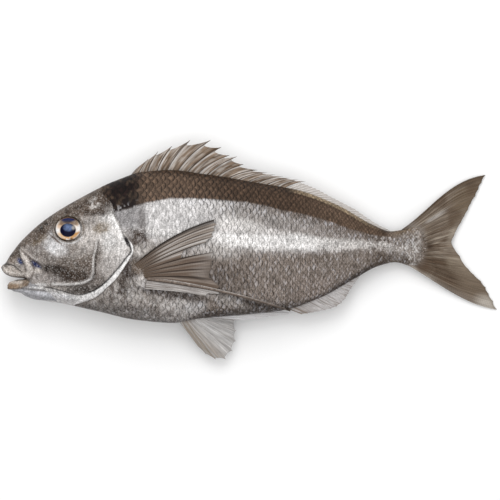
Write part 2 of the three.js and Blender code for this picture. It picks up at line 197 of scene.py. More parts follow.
def cloud(x, y, size, seed):
    """Smooth noise from 0 to 1: random numbers on a square lattice of the given size, blended
    between the four corners round a point with the cubic ease."""
    n = CLOUD_TABLE
    table = np.random.default_rng(seed).random((n, n))
    u, v = np.asarray(x) / size, np.asarray(y) / size
    i, j = np.floor(u).astype(int), np.floor(v).astype(int)
    s, t = rise(0, 1, u - i), rise(0, 1, v - j)
    low = table[i % n, j % n] * (1 - s) + table[(i + 1) % n, j % n] * s
    high = table[i % n, (j + 1) % n] * (1 - s) + table[(i + 1) % n, (j + 1) % n] * s
    return low * (1 - t) + high * t


print("an ease, a quarter of the way up:", float(rise(0, 4, 1.0)))

# %% [markdown]
# ## The body's driving curves
# Five curves of x hold the whole body: its back and belly lines, its half width, the height of
# its middle plane over the table, and the side line, a row of marked scales that every fish has
# and that the pattern of scales is counted from. Their points are sizes in millimetres.

# %% The five curves
back = curve_through([
    (0, -14), (1, -12.4), (3.5, -10.4), (7.2, -4.4), (17.6, 8.6), (37.6, 25.9), (66.4, 43.2),
    (92, 55.6), (113, 62.4), (135, 64), (166, 60.4), (201, 54.4), (239, 47.6), (270, 35.6),
    (299, 19.6), (312, 15), (320, 16), (333, 20), (340, 16), (BODY_LENGTH, 8),
])
belly = curve_through([
    (0, -14), (1, -16.2), (3.5, -18.6), (9.6, -21.2), (15, -21.8), (20, -23.4), (26, -36),
    (32, -40), (47, -42.4), (76, -49), (110, -56), (138, -58.4), (162, -54.6), (191, -52),
    (225, -48.4), (256, -38.2), (283, -23.2), (303, -12.8), (316, -10), (333, -14), (340, -10),
    (BODY_LENGTH, -4),
])
half_width = curve_through([
    (0, 0), (1, 3.6), (3.5, 6), (11, 9.2), (28, 13.6), (47, 17.6), (76, 22.6),
    (105, BODY_HALF_WIDTH - 0.4), (135, BODY_HALF_WIDTH), (170, 25.2), (200, 22.6), (230, 18.4),
    (260, 13), (290, 8.8), (316, 6.4), (331, 4.2), (340, 1.8), (BODY_LENGTH, 0.8),
])
middle_height = curve_through([
    (0, 22.5), (40, 23.8), (120, 24), (200, 23.4), (250, 20.4), (290, 15.4), (330, 8.6),
    (365, 3.8), (TOTAL_LENGTH, 0.9),
])
lateral_line = curve_through([
    (0, 20), (60, 30), (88.8, 34.4), (107, 38.2), (136, 42.6), (165, 42.2), (198, 38), (228, 31.4),
    (256, 24.9), (283, 15.7), (297, 12), (311, 10.2), (BODY_LENGTH, 9),
])
DEEPEST = 135.0
print("deepest body section, mm:", round(float(back(DEEPEST) - belly(DEEPEST)), 1))

# %% [markdown]
# A soft body doesn't touch a table in one line: what would sink into the table is pressed flat.
# A hard cut at the table would leave an edge, so the height eases into it instead.

# %% Skin and table
CONTACT = 0.8  # mm over which a surface eases into the table


def skin_at(x, y):
    """Distance of the bare skin from the middle plane: the half width times the square root of
    1 minus the share of the half depth, to the section power."""
    middle, half = (back(x) + belly(x)) / 2, np.maximum((back(x) - belly(x)) / 2, 0.01)
    share = np.minimum(1, np.abs(y - middle) / half)
    return half_width(x) * np.sqrt(1 - share**SECTION_POWER)


def lay_down(points, floor=0.0, contact=CONTACT):
    """Sets points of the fish on the table, in metres. Each height is z plus the height of the
    middle plane, and it flattens into the floor by half of d + sqrt(d^2 + contact^2)."""
    x, y, z = np.moveaxis(points, -1, 0)
    over = z + middle_height(x) - floor
    height = floor + (over + np.sqrt(over**2 + contact**2)) / 2
    return np.stack([x - TOTAL_LENGTH / 2, y, height], -1) * MM


print("half width at the deepest section, mm:", float(skin_at(DEEPEST, 3.0).round(1)))

# %% [markdown]
# ## Grids into meshes
# Every piece is a grid of points. A grid that closes on itself one way is a tube with a point
# at each end; two grids back to back are a thin sheet. Both come out as one closed mesh. Colours
# and other values that follow the surface go into the mesh as attributes, which the materials
# read later.

# %% Points and faces into a piece
LATTICE = "lattice"  # the name of each piece's own map


def write_values(mesh, values, uv):
    """Stores values on the mesh's points, as a colour where there are three columns and as a
    number where there is one, and the map on its corners."""
    for key, data in values.items():
        if data.ndim == 2:
            layer = mesh.attributes.new(key, "FLOAT_COLOR", "POINT")
            colour = np.concatenate([data, np.ones((len(data), 1))], 1)
            layer.data.foreach_set("color", colour.astype(np.float32).ravel())
        else:
            layer = mesh.attributes.new(key, "FLOAT", "POINT")
            layer.data.foreach_set("value", data.astype(np.float32))
    if uv is not None:
        corner = np.empty(len(mesh.loops), np.int32)
        mesh.loops.foreach_get("vertex_index", corner)
        layer = mesh.uv_layers.new(name=LATTICE)
        layer.data.foreach_set("uv", uv[corner].astype(np.float32).ravel())


def fill_mesh(name, points, faces, values, uv=None):
    """A smooth-shaded piece from points and faces. The sum of a . (b x c) over the faces' first
    three corners is the volume times six, so faces that enclose less than nothing point inwards
    and are turned round."""
    a, b, c = points[np.array([face[:3] for face in faces])].transpose(1, 0, 2)
    if np.einsum("ij,ij->i", a, np.cross(b, c)).sum() < 0:
        faces = [face[::-1] for face in faces]
    mesh = bpy.data.meshes.new(name)
    mesh.from_pydata(points.tolist(), [], faces)
    mesh.polygons.foreach_set("use_smooth", np.ones(len(faces), bool))
    write_values(mesh, values, uv)
    mesh.update()
    piece = bpy.data.objects.new(name, mesh)
    bpy.context.scene.collection.objects.link(piece)
    print(f"{name}: {sum(len(face) - 2 for face in faces)} triangles")
    return piece


print("pieces carry their own map,", LATTICE)

# %% Tubes


def tube(name, rings, values, uv=None):
    """A closed tube from rings of points, shape (rings, around, 3). Each end is closed by a fan
    of triangles to the mean of its ring."""
    n, m = rings.shape[:2]

    def with_poles(grid):
        flat = grid.reshape(n * m, -1)
        ends = np.stack([grid[0].reshape(m, -1).mean(0), grid[-1].reshape(m, -1).mean(0)])
        return np.concatenate([flat, ends])

    i, j = np.meshgrid(np.arange(n - 1), np.arange(m), indexing="ij")
    first, second = i * m + j, i * m + (j + 1) % m
    faces = np.stack([first, second, second + m, first + m], -1).reshape(-1, 4).tolist()
    k = np.arange(m)
    start, end, last = n * m, n * m + 1, (n - 1) * m
    faces += np.stack([np.full(m, start), (k + 1) % m, k], 1).tolist()
    faces += np.stack([np.full(m, end), last + k, last + (k + 1) % m], 1).tolist()
    flat_values = {
        key: with_poles(data)[:, 0] if data.ndim == 2 else with_poles(data)
        for key, data in values.items()
    }
    flat_uv = None if uv is None else with_poles(uv)
    return fill_mesh(name, with_poles(rings), faces, flat_values, flat_uv)


print("a tube of 4 by 4 points has", 3 * 4 * 2 + 2 * 4, "triangles")

# %% Sheets


def sheet(name, upper, lower, tint, uv):
    """A thin closed sheet between two grids of the same shape (rows, columns, 3), joined all the
    way round their edge. Both faces share the same tint and map."""
    n, m = upper.shape[:2]
    index = np.arange(n * m).reshape(n, m)
    top = np.stack([index[:-1, :-1], index[1:, :-1], index[1:, 1:], index[:-1, 1:]], -1)
    edge = np.concatenate([index[0, :-1], index[:-1, -1], index[-1, :0:-1], index[:0:-1, 0]])
    around = np.roll(edge, -1)
    wall = np.stack([edge, around, around + n * m, edge + n * m], -1)
    faces = top.reshape(-1, 4).tolist()
    faces += (top[..., ::-1] + n * m).reshape(-1, 4).tolist()
    faces += wall.tolist()
    points = np.concatenate([upper.reshape(-1, 3), lower.reshape(-1, 3)])
    both = np.concatenate([tint.reshape(-1, 3)] * 2)
    return fill_mesh(name, points, faces, {"tint": both},
                     np.concatenate([uv.reshape(-1, 2)] * 2))


print("a sheet of 4 by 4 points has", 2 * 3 * 3 * 2 + 4 * 3 * 2, "triangles")

# %% [markdown]
# ## Colours
# Painters speak of colours as they look, computers add them up as light. The palette holds the
# colours as they look, from 0 to 255, and one function turns them into light. A surface is then
# painted in layers, as a painter glazes: each layer has a name, a colour and a mask.

# %% Painting
STUDIO_LIGHT = 1.2  # light on a level surface, where 1 would show its paint unchanged
MIRRORED = 0.012  # white light that wet skin mirrors into the camera
DARKEST, PALEST = 0.0015, 0.92  # real paints and skins stay between these


def light(*colour):
    """The amount of light behind a screen colour: ((c / 255 + 0.055) / 1.055) to the power 2.4,
    or c / 255 / 12.92 in the darkest part."""
    c = np.array(colour, float) / 255
    return np.where(c <= 0.04045, c / 12.92, ((c + 0.055) / 1.055) ** 2.4)


def pigment(*colour):
    """The paint that looks like a screen colour under the studio's light: what is left of its
    light without the white that wet skin mirrors, over the strength of the light."""
    return np.clip((light(*colour) - MIRRORED) / STUDIO_LIGHT, DARKEST, PALEST)


def bare(colour, x):
    """One colour all over a surface that has the shape of the grid x."""
    return np.broadcast_to(pigment(*colour), x.shape + (3,))


def painted(ground, layers):
    """Lays each colour over the ground where its mask is 1, and part of it where it is less."""
    for colour, mask in layers.values():
        ground = ground + (pigment(*colour) - ground) * np.clip(mask, 0, 1)[..., None]
    return ground


def cross_fade(first, second, share):
    """The first surface's colours where share is 0, and the second's where it is 1."""
    return first + (second - first) * share[..., None]


print("paint for a middle grey:", pigment(128, 128, 128).round(3))

# %% [markdown]
# ## Scales
# Fish scales overlap like roof tiles, and each row is set off by half a scale from the next. The
# free edge points to the tail. On a grid of numbers a, counted along the body, and b, counted
# across the rows, the scale that shows at a point is the one furthest forward whose round rear
# edge still covers it. The distance from there to that rear edge gives both the height of the
# tile and the place of its dark rim.

# %% Numbering the scales
scale_pitch = curve_through([
    (40, 5.4), (90, 5.6), (150, 5.3), (200, 4.7), (235, 4.0), (265, 3.1), (300, 2.6), (345, 2.2),
])
PITCH_X = np.linspace(40, 350, 400)
PITCH_COUNT = np.cumsum(1 / scale_pitch(PITCH_X)) * (PITCH_X[1] - PITCH_X[0])
ROW_SHARE = 0.74  # height of a row over the pitch along the body
WANDER_ALONG, WANDER_ACROSS = 0.5, 0.4  # by how many scales the rows stray from a true grid


def lattice_of(rings):
    """Scale numbers at each point of the body's rings. a is the sum of 1 / pitch along x, and b
    the arc length round the body from the side line, over the row height."""
    x, y = rings[..., 0], rings[..., 1]
    n, m = x.shape
    step = np.linalg.norm(rings[:, 1:] - rings[:, :-1], axis=-1)
    arc = np.concatenate([np.zeros((n, 1)), np.cumsum(step, 1)], 1)
    line = np.minimum(lateral_line(x[:, 0]), back(x[:, 0]) - 1)
    at_line = np.abs(y[:, :m // 2] - line[:, None]).argmin(1)
    left = arc - np.take_along_axis(arc, at_line[:, None], 1)
    top = np.abs(y - y.max(1, keepdims=True)).argmin(1)
    over_top = 2 * np.take_along_axis(left, top[:, None], 1) - left
    b = np.where(np.arange(m) <= top[:, None], left, over_top)
    a = np.interp(x, PITCH_X, PITCH_COUNT) + WANDER_ALONG * (cloud(x, y, 6, 13) - 0.5)
    row = b / (scale_pitch(x) * ROW_SHARE) + WANDER_ACROSS * (cloud(x, y, 7, 14) - 0.5)
    return np.stack([a, row], -1)


print("scales along the body:", round(float(PITCH_COUNT[-1])))

# %% The scale that shows
SCALE_REACH = 0.5  # how far a scale's round edge reaches back from its centre, in scales


def tile_gap(a, b):
    """Distance, in scales, from a point to the rear edge of the scale that shows there: 0 at the
    edge, towards 1 where the next scale's edge covers it. In a row that is off by a share of a
    row, the edge lies at centre + reach * sqrt(1 - off^2)."""
    row = np.floor(b)

    def of_row(number, off):
        reach = SCALE_REACH * np.sqrt(np.clip(1 - off * off, 0, 1))
        shift = 0.5 * np.mod(number, 2)
        start = a - reach - shift
        centre = np.ceil(start)
        return centre + shift, centre - start

    here, here_gap = of_row(row, b - row)
    next_row, next_gap = of_row(row + 1, 1 - (b - row))
    return np.where(here < next_row, here_gap, next_gap)


print("gap on a row's own line, at its edge and past it:", tile_gap(np.array([0.5, 0.75]), 0.0))

# %% [markdown]
# ## The body surface
# The trunk and the head share one surface, an oval section carried along the body. What makes
# them a trunk and a head is relief: a height in millimetres at each point of the side view, by
# which the surface moves out along its own normal.

# %% The bare surface


def flank(x, turn):
    """The bare body: y = middle + half depth * sin(turn), z = half width * sqrt(1 - |sin|^p),
    on the left for turns from -90 to 90 degrees and on the right beyond."""
    middle, half = (back(x) + belly(x)) / 2, (back(x) - belly(x)) / 2
    y = middle + half * np.sin(turn)
    bulge = np.sqrt(np.clip(1 - np.abs(np.sin(turn)) ** SECTION_POWER, 0, 1))
    z = np.where(np.cos(turn) >= 0, 1, -1) * half_width(x) * bulge
    return np.stack([x, y, z], -1)


def turns(left, right):
    """Angles once round the body, from the belly up the left flank and down the right, with more
    of them on the side that shows."""
    up = np.linspace(-0.5, 0.5, left, endpoint=False)
    down = np.linspace(0.5, 1.5, right, endpoint=False)
    return np.concatenate([up, down]) * math.pi


def raised(rings, relief):
    """Moves each point out along the surface normal by its relief. The normal is the cross
    product of the steps along and around the grid."""
    along = np.gradient(rings, axis=0)
    around = np.roll(rings, -1, 1) - np.roll(rings, 1, 1)
    normal = np.cross(along, around)
    normal /= np.maximum(np.linalg.norm(normal, axis=-1, keepdims=True), 1e-9)
    return rings + normal * relief[..., None]


print("where four turns on the left and two on the right lie, degrees:",
      np.degrees(turns(4, 2)).round())

# %% [markdown]
# ## The gill cover's edge
# The gill cover is the one place where the head doesn't flow into the trunk: its free rim lifts
# off a slit. Head and trunk both need the line, the head to end there and the trunk to start
# under it, so it comes before either.

# %% Gill opening and cover
GILL_OPENING = path_through([
    (77, 66), (79, 52), (83, 43), (88.8, 36), (91, 30), (97.2, 17.6), (102.6, 8.8), (106.2, 3),
    (106.4, -1.8), (103.4, -7.4), (97.4, -16.5), (92, -23.8), (85.4, -29.8), (78.8, -35.7),
    (72.2, -39.2), (65.5, -41.4), (58.9, -44), (54, -49), (50, -58),
], 220)
COVER_EDGE = path_through([
    (88, 35), (90, 29.5), (95.2, 19.2), (100, 8), (104.4, -0.6), (100, -6.5), (96.7, -11.2),
    (92, -16.5), (86.8, -22.4), (80.8, -27.8), (74.2, -31.8), (68.8, -33.7), (62.9, -34.7),
    (56.2, -33.7), (49.6, -31.8), (41.6, -29.8), (36.3, -29),
], 160)
NAPE_SHARE = 0.17  # share of the opening's line that runs over the nape, where there is no slit
THROAT_SHARE = 0.86  # share from which the slit closes again


def gill_edge(x, y):
    """Signed distance behind the gill opening's edge, and how sharp that edge is there: 0 on the
    nape, where head and trunk flow together, and 1 along the gill cover."""
    _, behind, share = from_path(GILL_OPENING, x, y)
    sharp = rise(NAPE_SHARE, NAPE_SHARE + 0.08, share) * (1 - 0.6 * rise(THROAT_SHARE, 1, share))
    return behind, sharp


print("gill opening, mm:", length_of(GILL_OPENING))

# %% [markdown]
# ## Colours of the flank
# The back is dark brown and the flank silver, because a fish is coloured to hide from above and
# below. The low flank and the belly are painted greyer again, partly their own tone and partly
# painted shade where the body turns from the light. The borders follow the side line and a bright
# band, a painted highlight on the silver, so each is a curve of x. All the layers of paint share
# these borders, which are worked out once.

# %% Borders of the flank
band_top = curve_through([
    (110, 26), (160, 23), (172, 21.6), (191, 20), (210, 17.2), (228, 14.4), (246, 12.4),
    (265, 9.8), (283, 8.8), (302, 6.4), (315, 4), (BODY_LENGTH, 3),
])
core_top = curve_through([
    (110, 17), (163, 15.2), (195, 13.6), (228, 12.4), (246, 11.2), (265, 9.2), (283, 8.4),
    (302, 6.4), (315, 4), (BODY_LENGTH, 3),
])
band_low = curve_through([
    (110, 14), (160, 9.6), (175, 5.4), (192, 2), (212, 0.6), (230, -0.6), (262, 0.2),
    (283, 0.8), (302, 1.8), (315, -0.8), (BODY_LENGTH, -2),
])
SHOULDER_DROP, NAPE_DROP = 1.7, 2.7  # how far the dark back reaches below the side line
WAVE, RAGGED = 1.6, 1.8  # mm by which borders wave and fray


def flank_zones(x, y):
    """Masks of the flank's zones, with wavy and ragged borders: dark back, pale rest, band core,
    which carries a painted highlight, the shoulder of light above it and the low flank, which
    carries painted shade in part. With them go the chance mottling and the distances to the side
    line, the back and the belly."""
    wave = WAVE * (cloud(x, y, 9, 3) - 0.5)
    ragged = RAGGED * (cloud(x, y, 2.4, 4) - 0.5)
    line = lateral_line(x) + wave * 0.4 + ragged * 0.5
    line = line - SHOULDER_DROP * rise(200, 165, x) - NAPE_DROP * rise(142, 94, x)
    low = rise(3, -7 - 6 * rise(215, 185, x), y - band_low(x) - wave - 3 * ragged)
    core = rise(-2, 2, core_top(x) + wave + ragged - y)
    core = core * rise(-3, 3, y - band_low(x) + wave + 2 * ragged)
    shoulder = rise(-2, 2, band_top(x) + wave + 2 * ragged - y) * rise(-1, 2, y - core_top(x))
    dark = rise(-1, 1, y - line)
    return SimpleNamespace(
        dark=dark, pale=1 - dark, core=core, shoulder=shoulder, low=low, over_line=y - line,
        mottle=cloud(x, y, 4.2, 15) * 0.6 + cloud(x, y, 2.0, 16) * 0.4,
        under_back=back(x) - y, over_belly=y - belly(x))


print("band at mid body, mm:", round(float(band_top(200.0) - band_low(200.0)), 1), "deep")

# %% [markdown]
# The first layers are the broad ones: silver in front, browner towards the tail, darker below,
# partly as painted shade, and the bright band over them as a painted highlight. An image of the
# whole flank would be quicker, but it would show one fish's spots in mirror image on the other
# side, and it could not be bent to another body.

# %% Broad layers


def flank_ground(x, y, zone):
    """Silver, browner with x, darker below the band partly as painted shade, then the band's core
    and shoulder as painted highlights on the silver.
    """
    return painted(bare((200, 197, 196), x), {
        "grey middle": ((148, 142, 138), rise(155, 200, x)),
        "brown rear": ((136, 127, 121), rise(215, 290, x)),
        # Painted shade in part: the low flank and the lower rear are darker where the body turns
        # from the light.
        "low flank": ((130, 119, 111), zone.low * rise(120, 170, x)),
        "low flank in front": ((150, 142, 136), zone.low * rise(170, 120, x)),
        "lower rear": ((134, 122, 114), rise(-14, -26, y) * rise(170, 260, x) * 0.8),
        "light behind the fin": ((184, 179, 175), spot(x, y, (171, 1.5), (17, 7.5), -12) * 0.8),
        "under the side line": ((112, 100, 92),
                                rise(9, 0, -zone.over_line) * rise(170, 235, x) * 0.8),
        # Painted highlight: the band's shoulder and the band are the silver's shine painted into
        # the colour.
        "band's shoulder": ((216, 211, 208),
                            zone.shoulder * rise(165, 185, x) * rise(265, 235, x) * 0.9),
        "shoulder in front": ((214, 210, 207), spot(x, y, (191, 19.5), (19, 5.4), -8) * 0.85),
        "band": ((224, 221, 219), zone.core * rise(145, 185, x) * rise(300, 240, x)),
        "band's rear": ((206, 201, 197), zone.core * rise(240, 290, x) * rise(345, 320, x) * 0.9),
        "band's front": ((206, 203, 201), zone.core * rise(160, 130, x)),
    })


ON_BAND = np.array([200.0]), np.array([8.0])
print("paint on the band:", flank_ground(*ON_BAND, flank_zones(*ON_BAND)).round(2))

# %% [markdown]
# The next layers are marks of one place each: the bare patch behind the gill cover, painted
# shadows under and behind the side fin and its long ray, the fleshy root of that fin, and the
# mottled belly with painted shade along its keel.

# %% Marks of the front and the belly
LONG_RAY_SHADOW = path_through([(116, -25), (159.6, -30.4), (196.5, -39), (216.2, -44.9),
                                (231.4, -48.2)])


def flank_marks(ground, x, y, zone):
    """Spots behind the gill cover, painted shadows round the side fin, and painted shade along the
    belly's edge.
    """
    mottle, over_belly = zone.mottle, zone.over_belly
    front_belly = zone.low * rise(175, 145, x) * rise(-18, -28, y) * 0.6
    _, off_ray, along_ray = from_path(LONG_RAY_SHADOW, x, y)
    return painted(ground, {
        "bare patch": ((136, 133, 133), spot(x, y, (103, 28), (13, 12), 0, 0.4) * 0.92),
        "its rear edge": ((98, 91, 88), spot(x, y, (114, 18), (3, 16)) * 0.6),
        "dark over the fin": ((72, 61, 54), spot(x, y, (109, 10), (9, 7), -20) * mottle * 1.7),
        "pale fin socket": ((206, 200, 195), spot(x, y, (112, -1), (7, 4.5), 30) * mottle * 1.3),
        "under the cover": ((58, 48, 42),
                            spot(x, y, (103, -15), (8, 12), -30) * (0.4 + 0.8 * mottle)),
        "lower under the cover": ((74, 64, 58),
                                  spot(x, y, (96, -31), (6, 10), -35) * mottle * 1.5),
        "pale breast": ((178, 172, 167), spot(x, y, (106, -34), (5, 9), 10) * mottle * 1.2),
        "belly, dark mottling": ((96, 87, 81), front_belly * rise(0.5, 0.72, mottle)),
        "belly, pale mottling": ((184, 179, 175), front_belly * rise(0.46, 0.28, mottle)),
        "under the long ray": ((146, 138, 132), spot(x, y, (184, -42), (26, 3.4), -16) * 0.8),
        "pale belly": ((178, 174, 172), spot(x, y, (155, -46), (9, 5), 15) * (0.3 + mottle)),
        # Painted shade along the breast's lower edge.
        "painted shade at the breast edge": ((98, 92, 89), spot(x, y, (104, -49), (38, 5), -8) * 0.6),
        # Painted shadows of the side fin, its blade and its long ray on the flank.
        "fin's shadow": ((64, 54, 48), spot(x, y, (137, -34.6), (30, 3.6), -10) * 0.85),
        "ray's shadow": ((62, 53, 48), spot(x, y, (203, -44), (26, 2.6), -15) * 0.7),
        "painted shade behind the blade": ((84, 74, 67), spot(x, y, (173, -20), (8, 11)) * 0.5),
        "painted shade further behind": ((86, 76, 69), spot(x, y, (187, -21), (15, 10)) * 0.45),
        "painted shadow under the ray": ((52, 44, 39),
                               ridge(off_ray + 1.9, 1.5) * rise(0.3, 0.5, along_ray) * 0.8),
        # Painted shade along the keel, where the belly turns from the light, and a painted shadow
        # at the belly fins.
        "keel": ((60, 51, 46), rise(4.5, 0.5, over_belly) * 0.7),
        "painted shadow at the belly fins": ((66, 57, 51), rise(9, 3, over_belly) * rise(146, 166, x)
                                   * rise(250, 225, x) * 0.85),
        "pale over the keel": ((158, 151, 146), spot(x, y, (180, -39.4), (12, 3.4), -12) * 0.75),
        "fleshy fin root": ((196, 190, 186), spot(x, y, (112.5, -25), (3.6, 5)) * 0.9),
        "brown fin root": ((112, 98, 86), spot(x, y, (109.5, -14), (4, 5), 20) * 0.8),
    })


print("shadow under the long ray, mm:", length_of(LONG_RAY_SHADOW))

# %% [markdown]
# The dark back comes over all that, with its saddle on the nape. The saddle's ends are torn, not
# straight: the mottling is added to x before the mask is worked out, which moves the border.

# %% The dark back and the tail root


def back_marks(ground, x, y, zone):
    """The back with its ridge, darker partly as painted shade, the narrow rear of the body with
    painted shade along its keel, and the saddle.
    """
    torn = x + 7 * (zone.mottle - 0.5)
    rear = rise(280, 300, x) * zone.pale
    saddle = rise(116, 106, torn) * rise(76, 88, torn) * zone.dark
    return painted(ground, {
        "back": ((92, 77, 66), zone.dark),
        "darker middle": ((74, 61, 52), zone.dark * rise(140, 185, x) * rise(270, 230, x)),
        # Darker along the back's ridge, partly painted shade.
        "ridge": ((58, 47, 40), rise(6, 1, zone.under_back) * rise(110, 130, x) * 0.75),
        "tan along the soft fin": ((156, 138, 114), rise(3.6, 2.2, zone.under_back)
                                   * rise(226, 244, x) * rise(310, 280, x)
                                   * (0.4 + 0.6 * zone.mottle)),
        # Painted shade along the keel over the vent fin.
        "painted shade over the vent fin": ((58, 48, 42), rise(6, 1.5, zone.over_belly)
                                   * rise(255, 275, x) * rise(324, 305, x) * 0.85),
        "dark flecks": ((92, 80, 71), rear * rise(0.5, 0.75, cloud(x, y, 1.5, 20)) * 0.6),
        "pale flecks": ((200, 194, 189),
                        rear * rise(-3, 2, y) * rise(0.6, 0.8, cloud(x, y, 1.3, 21)) * 0.5),
        "lower rear": ((84, 73, 65),
                       rise(290, 305, x) * rise(326, 320, x) * rise(0, -5, y) * 0.6),
        "saddle": ((36, 28, 23), saddle * 0.97),
        "saddle's brown": ((78, 66, 56), saddle * rise(0.5, 0.9, cloud(x, y, 2.6, 17)) * 0.6),
        "saddle's front": ((92, 77, 65), saddle * rise(88, 80, torn) * 0.7),
        "silver chips": ((168, 165, 166), saddle * rise(6, 1, zone.over_line)
                         * rise(0.66, 0.76, cloud(x, y, 1.6, 18)) * 0.8),
    })


def tail_root_marks(ground, x, y, zone):
    """Grey skin with a patch of sparkling scales where the body ends and the tail begins, and
    painted shade in the crease between them.
    """
    root = rise(306, 320, x)
    sparkle = rise(0.42, 0.7, cloud(x, y, 1.5, 19))
    return painted(ground, {
        "root": ((136, 127, 120), root * 0.85),
        "its lower edge": ((92, 80, 70), root * rise(6, 0, zone.over_belly)),
        "its upper edge": ((112, 98, 84), root * rise(7, 1, zone.under_back)),
        "sparkle": ((206, 202, 199), spot(x, y, (328, -1), (7, 15), -8, 0.9) * sparkle * 0.85),
        # Painted shade in the crease at the tail root.
        "crease": ((82, 71, 63), spot(x, y, (323.5, -9), (3, 7), 14) * 0.8),
        "rays' start": ((96, 82, 70), rise(334, 341, x + 6 * (zone.mottle - 0.5)) * 0.85),
    })


ON_SADDLE = np.array([100.0]), np.array([50.0])
print("paint on the saddle:", back_marks(bare((200, 197, 196), ON_SADDLE[0]), *ON_SADDLE,
                                         flank_zones(*ON_SADDLE)).round(4))

# %% The flank's paint, whole


def paint_flank(x, y):
    """The colour of the trunk's skin, and how silvery and how clearly scaled it is. The band is
    most silvery and hides its scales; they show best on the back and the low flank."""
    zone = flank_zones(x, y)
    ground = flank_marks(flank_ground(x, y, zone), x, y, zone)
    ground = tail_root_marks(back_marks(ground, x, y, zone), x, y, zone)
    front = rise(180, 140, x)
    silver = np.clip(zone.pale * (0.1 + 0.7 * zone.core + 0.15 * front), 0, 1)
    upper = zone.pale * (1 - zone.low) * (1 - zone.core)
    outlined = 0.45 * rise(12, 1, -zone.over_line) * rise(120, 175, x)
    scaly = 1 - 0.45 * zone.core - upper * (0.2 + 0.4 * rise(180, 130, x) - outlined)
    scaly = np.clip(scaly - 0.25 * zone.low * rise(170, 120, x), 0.08, 1.25)
    scaly = scaly * (1 - 0.7 * spot(x, y, (102, 28), (11, 12))) * rise(344, 330, x)
    scaly = scaly * (1 - 0.35 * zone.dark * rise(215, 260, x))
    return ground, silver, scaly


print("silver on the band:", paint_flank(*ON_BAND)[1].round(2))

# %% [markdown]
# ## The trunk
# The trunk is the scaled part of the body, from under the gill cover to the tail root. Its
# scales are real relief, a tenth of a millimetre high, so the flank also looks scaled where the
# light grazes it. The rim of each scale is finer than the mesh and comes from the material.

# %% The trunk's skin
TILE_HEIGHT = 0.13
SUNK_SKIN = 0.15  # mm that the trunk lies below the bare surface, to stay inside the solid
UNDER_COVER = 4.2  # mm that it dips under the gill cover
TRUNK_START, SCALES_START, TRUNK_END = 52, 84, 342.6  # stations are closer where scales show
TRUNK_ROUND = (172, 58)  # points up the left flank and down the right one


def build_trunk():
    """The bare surface raised by tiles, the muscle's soft lumps and the side fin's fleshy root,
    and lowered under the gill cover."""
    x = np.concatenate([np.linspace(TRUNK_START, SCALES_START, 18, endpoint=False),
                        np.linspace(SCALES_START, TRUNK_END, 392)])
    rings = flank(*np.meshgrid(x, turns(*TRUNK_ROUND), indexing="ij"))
    uv = lattice_of(rings)
    gx, gy = rings[..., 0], rings[..., 1]
    behind, sharp = gill_edge(gx, gy)
    hidden = rise(0, 1, -behind / (5 - 4 * sharp)) * UNDER_COVER
    ground, silver, scaly = paint_flank(gx, gy)
    tile = (1 - tile_gap(uv[..., 0], uv[..., 1])) * TILE_HEIGHT * scaly
    root = 2.2 * spot(gx, gy, (111.5, -21), (4.5, 9), 8, 0.8)
    muscle = 0.5 * (cloud(gx, gy, 26, 8) - 0.5)
    relief = tile + muscle + root - hidden - SUNK_SKIN
    rings = raised(rings, relief * rise(0, 6, back(gx) - belly(gx)))
    return tube("trunk_skin", lay_down(rings, SKIN_OVER_TABLE),
                {"tint": ground, "silver": silver, "scaly": scaly}, uv)


trunk = build_trunk()

# %% [markdown]
# ## The head
# A fish's head is bone under thin skin, so it has edges where the trunk is soft: the gill cover
# ends in a free rim, the cheek bone stands up as a ridge, and the upper jaw bone lies in a
# hollow of its own. Each is a line in the side view with a profile across it.

# %% Lines of the head
EYE_AT = (54.6, 16.8)
EYE_RADII = (10.6, 9.6, 7.6)  # along the fish, up, and out of the socket
CHEEK_RIDGE = path_through([
    (79.6, 12), (79.1, 6.7), (78.2, 0.8), (76.8, -5.8), (76.4, -13.6), (76.2, -18),
    (74.2, -21.1), (70.9, -23.8), (65.5, -25.8), (58.9, -26.7), (51, -27), (42, -26.9),
], 120)
UPPER_JAW_BONE = path_through([(17.2, 0), (19.6, -6.4), (22, -11.2), (24, -16), (22.8, -20)])
UPPER_LIP = path_through([
    (0.6, -14), (3.4, -17.2), (7.2, -18.9), (10.8, -19.8), (18.8, -20), (23, -19),
])
SNOUT_FOLD = path_through([(1.6, -12), (5.6, -11.2), (10.4, -12.4), (15.2, -16), (19, -18.4)])
FACE_BONE = path_through([(15, 3), (21.6, -4), (26, -7.2), (32.4, -11.6), (38, -16.4)])
THROAT_LINES = [
    path_through([(19, -30.6), (27, -30), (35, -30.8), (47, -32)]),
    path_through([(17, -32.4), (31, -33.2), (45.6, -34.4), (56, -38.6)]),
]
NOSTRILS = [((32.4, 18), 1.2), ((36.8, 20.8), 1.0)]  # place and radius


def eye_ring(x, y):
    """Distance from the middle of the eye over the eye's own radius: 1 on its edge."""
    return np.hypot((x - EYE_AT[0]) / EYE_RADII[0], (y - EYE_AT[1]) / EYE_RADII[1])


print("cheek bone, upper jaw bone and upper lip, mm:",
      [length_of(line) for line in (CHEEK_RIDGE, UPPER_JAW_BONE, UPPER_LIP)])

# %% [markdown]
# Profiles across those lines are sums of bells and eases. Sculpting by hand would be freer, but
# these keep their place when the body's curves change. Everything fades out at the back and
# belly lines, where left and right meet.

# %% Relief of the bones


def cover_relief(x, y):
    """The gill cover rises to its rim and drops behind it. The cheek bone is a ridge, with a step
    up in front of it and a groove behind."""
    behind, sharp = gill_edge(x, y)
    _, outside, _ = from_path(COVER_EDGE, x, y)
    cover = 1.25 * rise(0.9, -0.1, outside) * rise(-34, -2, outside)
    cover = cover + 0.9 * rise(-30, 0, -np.abs(behind))
    gap, side, share = from_path(CHEEK_RIDGE, x, y)
    step = 0.5 * rise(0.6, -0.6, side) * rise(-14, 0, side)
    cheek = 0.8 * ridge(gap, 1.1) + step - 0.5 * ridge(side - 1.8, 1.0)
    return cover * sharp + cheek * rise(0, 0.12, share) * rise(1, 0.9, share)


